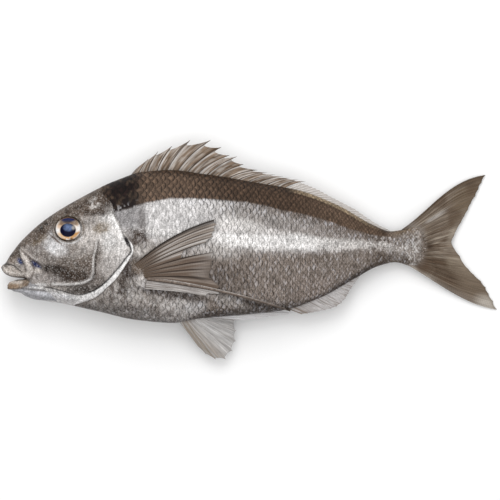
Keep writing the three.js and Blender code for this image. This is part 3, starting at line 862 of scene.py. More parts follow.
def face_relief(x, y):
    """The upper jaw bone is a ridge that widens downwards, the snout's fold and the face bone are
    steps, and each nostril is a pit with a raised rim."""
    jaw_gap, _, jaw_share = from_path(UPPER_JAW_BONE, x, y)
    jaw = (1.1 + 0.5 * jaw_share) * ridge(jaw_gap, 1.9 + 0.8 * jaw_share)
    fold_gap, fold_side, _ = from_path(SNOUT_FOLD, x, y)
    fold = 0.45 * rise(-0.7, 0.7, fold_side) * ridge(fold_gap, 3.5)
    _, bone_side, bone_share = from_path(FACE_BONE, x, y)
    bone = 0.6 * rise(-0.5, 0.5, bone_side) * rise(9, 0, bone_side) * rise(1, 0.85, bone_share)
    throat = sum(0.4 * ridge(from_path(line, x, y)[0], 1.1) for line in THROAT_LINES)
    nose = 0
    for at, radius in NOSTRILS:
        away = np.hypot(x - at[0], y - at[1])
        nose = nose + 0.4 * ridge(away - radius * 1.5, 0.6) - 1.4 * ridge(away, radius)
    return jaw + fold + bone + throat + nose


def head_relief(x, y):
    """Height of the head over the bare surface, in mm: bones, eye rim and lumps, plus the upper
    lip, less the hollows, the eye's socket and all that lies behind the gill opening."""
    behind, sharp = gill_edge(x, y)
    opening = 5 * rise(0, 1, behind / (6.5 - 5.7 * sharp))
    hollow = (1.3 * spot(x, y, (15.6, -8.8), (3.4, 1.9), -50)
              + 1.5 * spot(x, y, (28.4, -11.6), (4.4, 2.3), -35)
              + 0.8 * spot(x, y, (45, -17.5), (12, 4), -14))
    lip = 0.9 * ridge(from_path(UPPER_LIP, x, y)[0], 2.0) * rise(30, 22, x)
    ring = eye_ring(x, y)
    rim = 0.85 * ridge(ring - 1.13, 0.07) - 0.3 * ridge(ring - 1.3, 0.08)
    socket = 5 * rise(1.045, 0.98, ring)
    lumps = 0.54 * (cloud(x, y, 13, 21) - 0.5) + 0.21 * (cloud(x, y, 4, 22) - 0.5)
    inner = rise(0.3, 5, np.minimum(back(x) - y, y - belly(x)))
    bones = cover_relief(x, y) + face_relief(x, y) + rim + lumps
    return bones * inner + lip - hollow - socket - opening


print("cheek bone over the skin, mm:",
      round(float(cover_relief(np.array([78.2]), np.array([0.8]))[0]), 2))

# %% [markdown]
# A head has no pattern that a formula could follow, only marks that sit on its bones, so the
# broad tones are a list of oval spots. Each is broken up by the same fine cloud, or they would
# look like make-up.

# %% Spots of the head
HEAD_SPOTS = {  # centre, radii, tilt, colour, strength
    "cheek": ((66, -10.5), (21, 15), 0, (92, 81, 73), 0.94),
    "dark behind the mouth": ((44, -16.6), (14, 5), -14, (44, 36, 31), 0.97),
    "lower cheek": ((60, -20.6), (16, 4.4), -6, (60, 50, 43), 0.95),
    "upper cheek": ((67, -0.5), (9, 5), 0, (148, 140, 134), 0.5),
    "jaw's corner": ((46, -21.6), (14, 3.4), -4, (72, 62, 56), 0.8),
    "bright under the eye": ((44, 2.4), (9.2, 5.8), -24, (216, 215, 216), 0.9),
    "dull in it": ((47, -1), (3, 2), 0, (150, 144, 140), 0.5),
    "face": ((35, -5), (9, 4.4), -32, (122, 113, 107), 0.75),
    "before the eye": ((39.8, 17.5), (2.8, 7), 0, (188, 188, 190), 0.8),
    "lower face": ((27, 1), (8, 5), 20, (118, 110, 105), 0.8),
    "tan face": ((31, 8.4), (7, 3), 32, (108, 94, 76), 0.8),
    "pale speck": ((31, -0.6), (3, 2.2), 0, (160, 154, 150), 0.5),
    "pale cheek": ((62, -3), (8, 3), 30, (150, 144, 139), 0.6),
    "behind the eye": ((71, 9), (9, 9), 0, (198, 191, 186), 0.9),
    "gill cover": ((91, 8), (9.5, 25), 14, (220, 217, 215), 0.93),
    "tan temple": ((81.5, 17.4), (6.5, 4.2), 10, (118, 104, 86), 0.85),
    "lower cover": ((87, -13), (8, 14), -32, (178, 172, 168), 0.85),
    "cover's corner": ((78, -22), (7, 5), -30, (104, 95, 89), 0.75),
    "cover's lower edge": ((71, -30.4), (20, 3.2), 6, (60, 54, 50), 0.92),
    "pale temple": ((72, 24.6), (9, 4.6), 0, (158, 151, 146), 0.65),
    "dark brow": ((76, 31), (13, 3.6), -8, (58, 48, 41), 0.95),
    "snout's tip": ((3.6, -12.0), (3.6, 2.4), 20, (72, 66, 63), 0.75),
    "upper lip": ((11, -17), (13, 3.2), -12, (182, 172, 163), 0.85),
    "tan snout": ((8.5, -6), (4, 6), 50, (104, 89, 76), 0.75),
    "blue by the jaw bone": ((15.6, -8.8), (3.2, 1.7), -50, (50, 64, 104), 0.95),
    "blue in the hollow": ((28.4, -11.6), (4.4, 2.3), -35, (34, 46, 88), 0.97),
    "pale jaw corner": ((30, -16.4), (2.6, 2), 0, (192, 184, 176), 0.8),
    "behind the jaw": ((32, -23), (14, 4.6), 0, (152, 145, 141), 0.8),
    # Painted highlight along the jaw line.
    "painted highlight on the jaw line": ((31, -28), (6, 1.5), 6, (206, 204, 203), 0.75),
    "throat": ((40, -38), (28, 5), -10, (146, 145, 148), 0.95),
    "throat's groove": ((30, -35), (9, 1.2), -6, (98, 96, 98), 0.7),
    "bright throat": ((50, -36.6), (14, 1.6), -8, (206, 206, 210), 0.7),
    "snout's bridge": ((14, -1.8), (5.4, 4.4), 40, (70, 59, 50), 0.8),
}
brow_depth = curve_through([(0, 3), (10, 5), (21, 9), (40, 13), (51, 9), (63, 14), (80, 20)])


def head_ground(x, y):
    """Grey skin with the spots, then the brown forehead, as deep as the brow curve says, and
    two white patches."""
    grain = 1 + 0.8 * (cloud(x, y, 1.7, 31) - 0.5)
    ground = painted(bare((158, 151, 146), x), {
        name: (colour, np.clip(spot(x, y, centre, radii, tilt) * grain, 0, 1) * strength)
        for name, (centre, radii, tilt, colour, strength) in HEAD_SPOTS.items()
    })
    brow = rise(1.25, 0.75, (back(x) - y) / (brow_depth(x) + 3 * (cloud(x, y, 7, 5) - 0.5)))
    return painted(ground, {
        "forehead": ((98, 86, 77), brow * rise(9, 16, x) * 0.92),
        "its mottling": ((62, 52, 45), brow * rise(0.25, 0.9, cloud(x, y, 3.8, 9)) * 0.8),
        "white at the nape": ((206, 200, 195), spot(x, y, (76, 37.6), (6.3, 3.4), 35)
                              * rise(0.35, 0.55, cloud(x, y, 2.3, 12)) * 0.95),
        "white on the cheek": ((186, 180, 175), spot(x, y, (68, -4), (15, 11))
                               * rise(0.55, 0.85, cloud(x, y, 1.0, 32)) * 0.5),
    })


print("spots of the head:", len(HEAD_SPOTS))

# %% [markdown]
# Over the spots go the thin lines: painted light on the front of each ridge and a painted shadow
# behind it. Soft light alone would leave them too faint.

# %% Lines of the cheek and the gill cover


def cheek_marks(ground, x, y):
    """Painted light and painted shadow along the upper jaw bone and the cheek bone, whose upright
    part is dark in the middle and whose lower part has a painted highlight."""
    jaw_gap, _, _ = from_path(UPPER_JAW_BONE, x, y)
    gap, side, share = from_path(CHEEK_RIDGE, x, y)
    low = rise(0.45, 0.55, share)
    upright = (1 - low) * rise(0.02, 0.1, share)
    return painted(ground, {
        # Painted highlight along the jaw bone, with its painted shadow below.
        "jaw bone": ((200, 192, 185), ridge(jaw_gap, 1.7) * 0.9),
        "its shadow": ((70, 58, 50), ridge(jaw_gap - 3.1, 0.8) * rise(-3, -6, y) * 0.6),
        "light on the cheek bone": ((206, 202, 199), ridge(side + 1.6, 1.0) * upright * 0.8),
        "cheek bone": ((50, 42, 37), ridge(gap, 0.7) * upright * 0.85),
        "second line": ((84, 74, 67), ridge(side + 3.2, 0.6) * upright * 0.6),
        # Painted highlight on the cheek bone's lower part, and a painted shadow under it.
        "painted highlight on its lower part": ((208, 205, 203), ridge(side + 0.1, 1.0) * low * 0.9),
        "shadow under that": ((64, 56, 51), ridge(side - 1.9, 0.9) * low * 0.55),
    })


def cover_marks(ground, x, y):
    """The white soft skin between the bony cover's edge and the gill opening, the dark line in
    front of it, which is painted shade under the bone's edge, and a bright rim higher up, where the
    bone itself ends the cover."""
    behind, _ = gill_edge(x, y)
    _, outside, share = from_path(COVER_EDGE, x, y)
    edge, under = rise(0.02, 0.1, share), rise(0.24, 0.3, share)
    soft_skin = rise(0.4, 1.4, outside) * rise(0.6, -0.4, behind) * under
    return painted(ground, {
        "soft skin": ((232, 230, 229), soft_skin * (0.97 - 0.6 * rise(0.68, 0.9, share))),
        "its free edge": ((176, 172, 171), soft_skin * rise(3.8, 6, outside) * 0.6),
        "bright rim": ((232, 230, 228), ridge(outside + 1.3, 0.9) * edge * (1 - under) * 0.9),
        # Painted shade under the bony cover's edge.
        "dark line": ((24, 20, 18),
                      ridge(outside - 0.4, 0.62) * edge * (0.3 + 0.7 * under) * 0.97),
        "cover's point": ((34, 28, 26), spot(x, y, (101.8, 6.6), (1.5, 5), 26, 0.4)),
    })


print("white skin along the cover's edge, mm:", length_of(COVER_EDGE))

# %% Lines of the face


def face_marks(ground, x, y):
    """The rings round the eye, with painted shade at the edge of the eye's socket, the lip's light
    edge, the dark fold over it, the face bone, painted shade in a crease in front of the eye and in
    the nostrils, and the painted shadow under the snout."""
    ring = eye_ring(x, y)
    _, lip_side, _ = from_path(UPPER_LIP, x, y)
    _, fold_side, fold_share = from_path(SNOUT_FOLD, x, y)
    _, bone_side, bone_share = from_path(FACE_BONE, x, y)
    ground = painted(ground, {
        "eye's rim": ((104, 92, 80), ridge(ring - 1.17, 0.09) * 0.8),
        "lip's edge": ((206, 198, 190), ridge(lip_side - 1.6, 0.8) * rise(26, 20, x) * 0.7),
        "fold": ((44, 38, 36), ridge(fold_side, 0.6) * rise(1, 0.8, fold_share)
                 * rise(20, 17, x) * rise(1, 4, x) * 0.85),
        "face bone": ((84, 74, 68), ridge(bone_side + 0.6, 0.8) * rise(1, 0.9, bone_share)
                      * rise(13, 16, x) * rise(40, 34, x) * 0.7),
        "white under the eye": ((226, 225, 225), ridge(ring - 1.21, 0.055) * rise(14, 8, y) * 0.95),
        # Painted shade in the crease in front of the eye.
        "painted shade in the crease before the eye": ((84, 66, 54), spot(x, y, (44, 8.6), (6.4, 0.9), -38) * 0.85),
        # Painted shade where the eyeball meets its socket.
        "painted shade at the socket's edge": ((74, 62, 50), ridge(ring - 1.03, 0.045) * 0.8),
    })
    # Painted shade in each nostril's pit.
    for at, radius in NOSTRILS:
        pit = ridge(np.hypot(x - at[0], y - at[1]), radius)
        ground = painted(ground, {"nostril": ((30, 25, 22), pit)})
    # Painted shadow under the snout, where the upper jaw meets the lower.
    under = rise(1.5, 0.3, y - belly(x)) * rise(24, 18, x) * 0.9
    return painted(ground, {"under the snout": ((66, 50, 40), under)})


print("rim of the eye's socket, mm across:", round(2 * 1.03 * EYE_RADII[0], 1))

# %% The head's skin
SNOUT_STATIONS = [0.05, 0.25, 0.55]  # close together, because the snout is blunt
HEAD_END = 108.6
HEAD_ROUND = (270, 88)
TRUNK_PAINT_FROM = 79.0  # mm along the fish, where the trunk's paint makes sense


def paint_head(x, y):
    """The colour of the head's skin, how silvery it is and how clearly scaled. Where there is no
    slit, on the nape, the trunk's colours run on into it."""
    ground = head_ground(x, y)
    for marks in (cheek_marks, cover_marks, face_marks):
        ground = marks(ground, x, y)
    behind, sharp = gill_edge(x, y)
    past = (1 - sharp) * (rise(0, 5, behind) + 0.8 * rise(-10, -1, behind))
    trunk_ground, _, _ = paint_flank(np.maximum(x, TRUNK_PAINT_FROM), y)
    ground = cross_fade(ground, trunk_ground, np.clip(past, 0, 1))
    silver = 0.4 + 0.4 * rise(0.12, 0.5, ground.mean(-1))
    return ground, silver, np.full(x.shape, 0.06)


def build_head():
    """The bare surface from the snout to the gill cover's rear edge, raised by the head's relief,
    on a finer grid than the trunk's."""
    x = np.concatenate([SNOUT_STATIONS, np.linspace(0.9, HEAD_END, 262)])
    rings = flank(*np.meshgrid(x, turns(*HEAD_ROUND), indexing="ij"))
    uv = lattice_of(rings)
    gx, gy = rings[..., 0], rings[..., 1]
    ground, silver, scaly = paint_head(gx, gy)
    rings = raised(rings, head_relief(gx, gy) * rise(0, 5, gx))
    return tube("head_skin", lay_down(rings, SKIN_OVER_TABLE),
                {"tint": ground, "silver": silver, "scaly": scaly}, uv)


head = build_head()

# %% [markdown]
# ## The lower jaw
# The lower jaw is a blunt wedge that juts out under the snout on its own. A wedge with a full,
# almost square section gives the lip a crisp upper edge, which an oval would hide in the cheek.

# %% The jaw's curves
JAW_START, JAW_END = 5.0, 47.0
JAW_POWER = 2.6  # 2 would make the jaw's section an ellipse, and more makes it squarer
jaw_top = curve_through([
    (5, -28.4), (7, -25.8), (10.5, -24.4), (16, -23.6), (21, -22.8), (31, -24), (47, -31),
])
jaw_bottom = curve_through([
    (5, -28), (5.8, -30.8), (9.3, -33), (15, -34), (21, -37.4), (28, -39.7), (47, -41.4),
])
jaw_half_width = curve_through([
    (5, 0.3), (6, 3.4), (9, 6), (17, 9), (26, 11.2), (36, 10.8), (47, 7),
])
LIP_EDGE = path_through([(5, -30.6), (12, -30.9), (18, -29.8), (24, -25.6)])


def paint_jaw(x, y, lip_gap, lip_side):
    """Grey skin, a tan lip with a darker edge, painted shade in the slit of the mouth, and bright
    and dark lines along the throat.
    """
    return painted(bare((146, 145, 148), x), {
        "lip": ((166, 152, 138), rise(-0.4, 0.6, lip_side) * rise(28, 22, x)),
        "lip's light": ((204, 196, 188), spot(x, y, (13, -25.4), (5, 1.5)) * 0.8),
        "brown lip": ((128, 106, 84), spot(x, y, (9, -29), (6, 1.9)) * 0.8),
        "mouth's corner": ((112, 94, 80), spot(x, y, (20, -27), (2.6, 3)) * 0.7),
        "lip's edge": ((92, 76, 60), ridge(lip_gap, 0.7) * rise(26, 20, x) * 0.85),
        # Painted shade in the slit between the upper and lower jaw.
        "painted shade in the mouth's slit": ((60, 46, 38), rise(1.2, 0.2, jaw_top(x) - y) * rise(10, 13, x)
                         * rise(27, 22, x) * 0.9),
        "bright line": ((205, 203, 202), spot(x, y, (33, -30.4), (12, 0.9), -3) * 0.8),
        "bright throat": ((200, 200, 205), spot(x, y, (38, -35.6), (20, 1.8), -9) * 0.75),
        "dark line": ((98, 92, 88), spot(x, y, (34, -32.2), (15, 0.9), -4) * 0.7),
    })


print("jaw, mm:", JAW_END - JAW_START, "long")

# %% The jaw


def build_jaw():
    """The jaw: a section |y|^p + |z|^p = 1 between its top and bottom lines, by taking the cosine
    and sine to the power 2 / p with their signs kept."""
    share = np.linspace(0.004, 1, 110) ** 1.5
    x, turn = np.meshgrid(JAW_START + (JAW_END - JAW_START) * share,
                          np.linspace(0, 2 * math.pi, 120, endpoint=False), indexing="ij")
    up, out = (np.sign(w) * np.abs(w) ** (2 / JAW_POWER) for w in (np.sin(turn), np.cos(turn)))
    half, middle = (jaw_top(x) - jaw_bottom(x)) / 2, (jaw_top(x) + jaw_bottom(x)) / 2
    y = middle + half * up
    z = jaw_half_width(x) * out
    lip_gap, lip_side, _ = from_path(LIP_EDGE, x, y)
    relief = 0.5 * ridge(lip_gap, 0.9) - 0.5 * ridge(lip_side + 1.4, 0.8)
    relief += sum(0.35 * ridge(from_path(line, x, y)[0], 1.0) for line in THROAT_LINES)
    relief += 0.3 * (cloud(x, y, 3, 41) - 0.5)
    rings = raised(np.stack([x, y, z], -1), relief)
    silver = 0.2 * (1 - 0.2 * rise(-0.4, 0.6, -lip_side))
    return tube("lower_jaw", lay_down(rings, SKIN_OVER_TABLE),
                {"tint": paint_jaw(x, y, lip_gap, lip_side), "silver": silver,
                 "scaly": np.zeros(x.shape)}, np.stack([x, y], -1) * 0.2)


jaw = build_jaw()

# %% [markdown]
# ## Fins
# A fin is a fan of bony rays with thin skin between them. One function makes all eight sheets. It
# takes each ray's base and tip, and draws the skin as straight steps between neighbouring rays.
# A cloth simulation could drape the skin, but a wet fin is stiff and keeps its fan.

# %% Rays and the skin between them
RAY_SHARES = np.array([0, 0.02, 0.05, 0.1, 0.18, 0.28, 0.4, 0.52, 0.64, 0.75, 0.84, 0.91, 0.955,
                       0.985])  # where the grid's columns lie between one ray and the next
RAY_TIP_SHARE = 0.045  # share of the way to the next ray in which a ray's tip stands out
Ray = namedtuple("Ray", "base tip bow curl front rear")


def fin_grid(rays, rows, dip):
    """Plane points, the ray number u, the share t along the ray and the gap between its two rays,
    on a grid of columns by rows. A ray bends by bow * 4t(1 - t), and in its outer part by
    curl * t^2 (1 - t). front and rear give the reach of the skin on each side of it, and between
    two tips the skin's edge dips."""
    base, tip, bow, curl, front, rear = (np.array(part, float) for part in zip(*rays))
    u = (np.arange(len(rays) - 1)[:, None] + RAY_SHARES).ravel()
    u = np.append(u, len(rays) - 1)
    i = np.minimum(u.astype(int), len(rays) - 2)
    f = (u - i)[:, None]
    reach = rear[i][:, None] * (1 - f) + front[i + 1][:, None] * f - dip * 4 * f * (1 - f)
    near = ridge(np.minimum(f, 1 - f), RAY_TIP_SHARE)
    reach = np.where((f < 1e-6) | (f > 1 - 1e-6), 1.0, reach * (1 - near) + near)
    t = np.linspace(0, 1, rows)[None, :] * reach

    def along(k):
        line = (tip - base)[k][:, None, :]
        lift = ((4 * bow[k][:, None] + curl[k][:, None] * t) * t * (1 - t))[..., None]
        side = np.stack([-line[..., 1], line[..., 0]], -1)
        return base[k][:, None, :] + line * t[..., None] + side * lift

    here, there = along(i), along(i + 1)
    plane = here * (1 - f[..., None]) + there * f[..., None]
    gap = np.linalg.norm(there - here, axis=-1)
    return plane, np.broadcast_to(u[:, None], t.shape), t, gap


print("columns from one ray to the next:", len(RAY_SHARES))

# %% [markdown]
# The thickness swells to a round ray on the ray's own line. Spines stay whole. Soft rays are
# rows of short joints, and they split in two on the way out.

# %% One function for every fin


def ray_bulge(u, t, gap, root, tip, branch):
    """Half thickness of the rays, in mm: a round bar sqrt(r^2 - d^2) at distance d from the ray's
    line, where r shrinks from root to tip. Past the share branch the ray splits in two."""
    off = np.abs(u - np.round(u)) * gap
    split = 0.22 * gap * rise(branch, branch + 0.35, t) if branch < 1 else 0.0
    radius = (root + (tip - root) * t) * (1 - 0.35 * rise(branch, branch + 0.1, t))
    return np.sqrt(np.clip(radius**2 - (off - split) ** 2, 0, None))


def on_ray(u, width):
    """1 on the ray's own line, fading to 0 at the given share of the way to the next."""
    return ridge(u - np.round(u), width)


def hanging(start=0.0, slope=0.0, droop=0.0):
    """A fin's height over the middle plane: start + slope * t - droop * t^2."""
    return lambda x, y, u, t: start + slope * t - droop * t * t


def build_fin(name, rays, height, paint, rows, root, tip, film=0.28, branch=2.0, dip=0.02,
              fold=0.0):
    """A fin piece. height(x, y, u, t) is the middle of the sheet over the middle plane, and
    paint(x, y, u, t) its colour. The skin folds by fold * sin(2 pi u) * t between the rays."""
    plane, u, t, gap = fin_grid(rays, rows, dip)
    x, y = plane[..., 0], plane[..., 1]
    z = height(x, y, u, t) + fold * np.sin(2 * math.pi * u) * t
    joints = 1 - 0.22 * rise(0.2, 0.3, t) * rise(0.3, 0.9, np.sin(t * 90)) if branch < 1 else 1
    thick = (film * (1.3 - 0.6 * t) + ray_bulge(u, t, gap, root, tip, branch)) * joints
    upper, lower = (lay_down(np.stack([x, y, z + side * thick], -1), contact=contact)
                    for side, contact in ((1, CONTACT), (-1, 0.3)))
    return sheet(name, upper, lower, paint(x, y, u, t), np.stack([u, t], -1))


print("half thickness of a ray of 1 mm, 0.4 mm off its line:",
      round(float(ray_bulge(0.4, 0.0, 1.0, 1.0, 1.0, 2.0)), 2))

# %% [markdown]
# ### The back fins
# The front one has seventeen stiff spines. The skin hangs lower behind each spine than in front
# of the next, which gives the saw edge. The rear one is low, soft and pale.

# %% The spiny fin
SPINES = 17
SPINY_SPAN = (101, 223)  # where its base starts and ends, in mm along the fish
SUNK = 4.0  # mm that a fin's base lies inside the body
spine_tip_x = curve_through([
    (0, 113.6), (2, 125.6), (4, 151.5), (5, 167.8), (8, 189), (9, 194), (10, 205.6), (16, 244),
])
spine_tip_y = curve_through([
    (0, 69.4), (3, 83.4), (4, 88), (5, 88), (7, 75.8), (8, 74.9), (9, 68.6), (10, 64), (16, 55),
])


def spiny_rays():
    """Evenly spaced bases just under the back line, with tips on the two tip curves."""
    number = np.arange(SPINES)
    x = np.linspace(*SPINY_SPAN, SPINES)
    bases = np.stack([x, back(x) - SUNK], 1)
    tips = np.stack([spine_tip_x(number), spine_tip_y(number)], 1)
    return [Ray(b, p, bow=0.065, curl=0, front=0.975, rear=0.83) for b, p in zip(bases, tips)]


def paint_spiny(x, y, u, t):
    """Tan skin with pale streaks in front of each spine, brown spines and a darker edge."""
    f = u - np.floor(u)
    pale = rise(0.5, 0.75, cloud(u * 11, t * 2.5, 1, 51))
    return painted(bare((140, 122, 106), x), {
        "pale streaks": ((210, 203, 197), pale * (0.55 + 0.35 * rise(5, 9, u))),
        "brown streaks": ((92, 76, 62), rise(0.5, 0.75, cloud(u * 9 + 9, t * 2, 1, 52)) * 0.85),
        "light by the spine": ((232, 229, 227), ridge(f - 0.13, 0.05) * rise(0.95, 0.7, t) * 0.9),
        "fine streaks": ((196, 188, 180), rise(0.6, 0.8, cloud(u * 23, t * 5, 1, 53)) * 0.5),
        "spine": ((70, 58, 49), on_ray(u, 0.05) * 0.95),
        "fold": ((84, 71, 60), ridge(f - 0.5, 0.03) * rise(0.8, 0.5, t) * 0.6),
        "edge": ((104, 92, 82), rise(0.85, 1, t) * 0.6),
        "base": ((90, 80, 72), rise(0.25, 0.0, t) * 0.5),
    })


spiny_fin = build_fin("back_fin_spiny", spiny_rays(), hanging(droop=2.5), paint_spiny,
                      rows=70, root=0.95, tip=0.22, dip=0.06, fold=0.35)

# %% The soft fin behind it
SOFT_RAYS = 26
SOFT_SPAN = (224, 306)
soft_length = curve_through([(0, 17), (0.3, 14.5), (0.8, 13), (1, 9)])
soft_lean = curve_through([(0, 30), (0.3, 24), (1, 21)])  # degrees from the back line


def soft_rays():
    """Rays that stand on the back line, each leaning by its own angle from the line's slope."""
    share = np.linspace(0, 1, SOFT_RAYS)
    x = SOFT_SPAN[0] + (SOFT_SPAN[1] - SOFT_SPAN[0]) * share
    angle = np.arctan2(back(x + 1) - back(x - 1), 2) + np.radians(soft_lean(share))
    bases = np.stack([x, back(x) - SUNK * 0.6], 1)
    tips = bases + soft_length(share)[:, None] * np.stack([np.cos(angle), np.sin(angle)], 1)
    return [Ray(b, p, bow=0, curl=0, front=0.98, rear=0.96) for b, p in zip(bases, tips)]


def paint_soft(x, y, u, t):
    """Pale grey skin with fine tan rays."""
    return painted(bare((214, 209, 205), x), {
        "rays": ((158, 146, 134), on_ray(u, 0.16) * 0.6),
        "tan base": ((148, 132, 110), rise(0.36, 0.22, t) * rise(14, 4, u) * 0.85),
        "edge": ((168, 156, 146), rise(0.9, 1, t) * 0.7),
    })


soft_fin = build_fin("back_fin_soft", soft_rays(), hanging(droop=1.5), paint_soft,
                     rows=30, root=0.5, tip=0.15, branch=0.5)

# %% [markdown]
# ### The tail
# The tail's rays fan out from its root and split several times. Their tips lie on two smooth
# lines, the edges of the two lobes, and the rays near the outer edges curve.

# %% The tail's rays
TAIL_HALF_RAYS = 10
UPPER_LOBE = [(389, 60.4), (377.5, 36.4), (364.5, 13.6), (361, 6.4)]
LOWER_LOBE = [(361, 6.4), (371.5, -10), (388.8, -29.6), (394.4, -38), (398, -48)]
TAIL_ROOT = [(321, 16.5), (333, 15), (338, 2.4), (333, -9), (320, -9)]
TAIL_CURL = (0.49, -0.32)  # of the outermost rays above and below, falling to none inwards


def tail_rays():
    """Rays from the root line to the lobes' edges, some of them up to 3.5% short, because a real
    tail is frayed."""
    count = 2 * TAIL_HALF_RAYS + 1
    share = np.linspace(0, 1, count)
    upper, lower = (path_through(lobe, TAIL_HALF_RAYS + 1) for lobe in (UPPER_LOBE, LOWER_LOBE))
    root = path_through(TAIL_ROOT, count)
    curl = (TAIL_CURL[0] * np.maximum(0, 1 - 3 * share)
            + TAIL_CURL[1] * np.maximum(0, 3 * share - 2))
    ragged = 1 - 0.035 * np.random.default_rng(6).random(count)
    ragged[[0, -1]] = 1
    tips = root + (np.concatenate([upper, lower[1:]]) - root) * ragged[:, None]
    return [Ray(b, p, bow=0, curl=c, front=1, rear=1) for b, p, c in zip(root, tips, curl)]


print("tail, mm from tip to tip:", length_of(np.array([UPPER_LOBE[0], LOWER_LOBE[-1]])))

# %% The tail's paint


def paint_tail(x, y, u, t):
    """Brown rays and paler skin, dark along the upper lobe and pale at the lower edge."""
    upper, lower = rise(9, 6, u), rise(11, 14, u)
    return painted(bare((134, 121, 108), x), {
        "pale streaks": ((174, 163, 149), rise(0.5, 0.8, cloud(u * 6, t * 2.5, 1, 61)) * 0.6),
        "brown streaks": ((88, 71, 57), rise(0.5, 0.8, cloud(u * 7, t * 2.4, 1, 62)) * 0.7),
        "rays": ((84, 68, 56), on_ray(u, 0.2) * rise(0.9, 0.3, t) * 0.6),
        "pale ray above": ((190, 184, 178), ridge(u - 3.4, 0.5) * rise(0.15, 0.3, t)
                           * rise(0.65, 0.4, t) * 0.8),
        "dark below": ((84, 68, 54), lower * rise(19, 17, u) * rise(0.95, 0.55, t) * 0.65),
        "lower lobe's end": ((152, 139, 122), lower * rise(0.5, 0.75, t) * 0.75),
        "upper lobe's end": ((112, 97, 80), upper * rise(0.5, 0.85, t) * 0.7),
        "lower edge": ((168, 159, 149), rise(18.6, 19.6, u) * 0.8),
        "upper edge": ((92, 78, 66), rise(1.4, 0.2, u) * 0.8),
        "pale fork": ((176, 165, 150), ridge(u - 8, 2) * rise(0.72, 0.92, t) * 0.7),
        "dark middle": ((74, 60, 50), ridge(u - 10, 1.2) * rise(0.5, 0.2, t) * 0.7),
        "root": ((146, 138, 131), rise(0.2, 0.05, t) * 0.7),
        "broad brown": ((92, 76, 63), rise(0.45, 0.8, cloud(x, y, 13, 63)) * 0.6),
        "pale tip": ((192, 184, 174), spot(x, y, (391, -44), (10, 6), -30) * 0.75),
        "fringe": ((100, 86, 72), rise(0.95, 1, t) * 0.4),
    })


tail_fin = build_fin("tail_fin", tail_rays(), hanging(), paint_tail,
                     rows=90, root=1.7, tip=0.2, film=0.35, branch=0.3, dip=0.012)

# %% [markdown]
# ### Vent and belly fins
# The vent fin and the two belly fins are soft. The left belly fin is spread, the right one lies
# folded along the belly and only its edge shows.

# %% The vent fin


def fan_rays(base, edge, count):
    """Rays from evenly spaced points of the base line to evenly spaced points of the edge."""
    return [Ray(b, p, bow=0, curl=0, front=0.985, rear=0.97)
            for b, p in zip(path_through(base, count), path_through(edge, count))]


def paint_vent(x, y, u, t):
    """Pale grey, with brown streaks near the front rays."""
    return painted(bare((196, 192, 191), x), {
        "streaks": ((150, 142, 136), rise(0.5, 0.8, cloud(u * 6, t * 2, 1, 71)) * 0.8),
        "front rays": ((120, 102, 86), rise(3, 0.5, u) * on_ray(u, 0.3) * 0.9),
        "base": ((110, 98, 90), rise(0.2, 0.02, t) * 0.8),
    })


vent_rays = fan_rays(
    [(223, -44.6), (248, -37.5), (270, -29), (284, -19.5)],
    [(240.8, -51.6), (256.8, -48.8), (268.8, -45.6), (275.7, -39.5), (279.4, -32.6), (289, -19)],
    count=14)
vent_fin = build_fin("vent_fin", vent_rays, hanging(droop=1.5), paint_vent,
                     rows=50, root=0.55, tip=0.15, branch=0.45)

# %% The belly fins


def paint_spread(x, y, u, t):
    """Pale and clear, with tan front rays."""
    streak = cloud(u * 8, t * 2, 1, 81)
    return painted(bare((188, 185, 183), x), {
        "pale streaks": ((208, 206, 205), rise(0.5, 0.8, streak) * 0.7),
        "tan front": ((152, 138, 122), rise(4.2, 1.4, u) * rise(0.3, 0.6, streak) * 0.9),
        "front rays": ((128, 112, 92), on_ray(u, 0.08) * rise(4, 0.5, u) * 0.9),
        "rays": ((170, 165, 161), on_ray(u, 0.1) * 0.5),
        "base": ((120, 110, 104), rise(0.16, 0.03, t) * 0.8),
    })


def paint_folded(x, y, u, t):
    """Pale grey with a brown lower edge."""
    return painted(bare((236, 234, 235), x), {
        "streaks": ((176, 172, 170), rise(0.5, 0.8, cloud(u * 5, t * 2, 1, 91)) * 0.7),
        "lower edge": ((118, 100, 84), ridge(u - 0.1, 0.25) * 0.8),
    })


spread_rays = fan_rays(
    [(140.4, -54.5), (150, -53.5), (158, -51)],
    [(158, -78), (168, -86.6), (178.5, -88.4), (185.4, -80.5), (188.2, -71), (186.8, -56.4)],
    count=8)
folded_rays = fan_rays(
    [(152, -53), (158, -51), (163, -49.5)],
    [(188, -56.2), (199, -55.8), (212, -54), (225.6, -51.8), (236, -51.2), (224, -48)],
    count=8)
spread_fin = build_fin("belly_fin_left", spread_rays, hanging(4, slope=-16), paint_spread,
                       rows=60, root=0.75, tip=0.16, branch=0.35, fold=0.5)
folded_fin = build_fin("belly_fin_right", folded_rays, hanging(-2, slope=-3), paint_folded,
                       rows=60, root=0.7, tip=0.16, branch=0.4)

# %% [markdown]
# ### The side fins
# The side fin springs from a fleshy base behind the gill cover and lies back along the flank. Its
# upper rays carry one blade of skin, the middle ones another, and one thick lower ray runs on
# alone to the vent. The right one is folded under the fish, which rests on it.

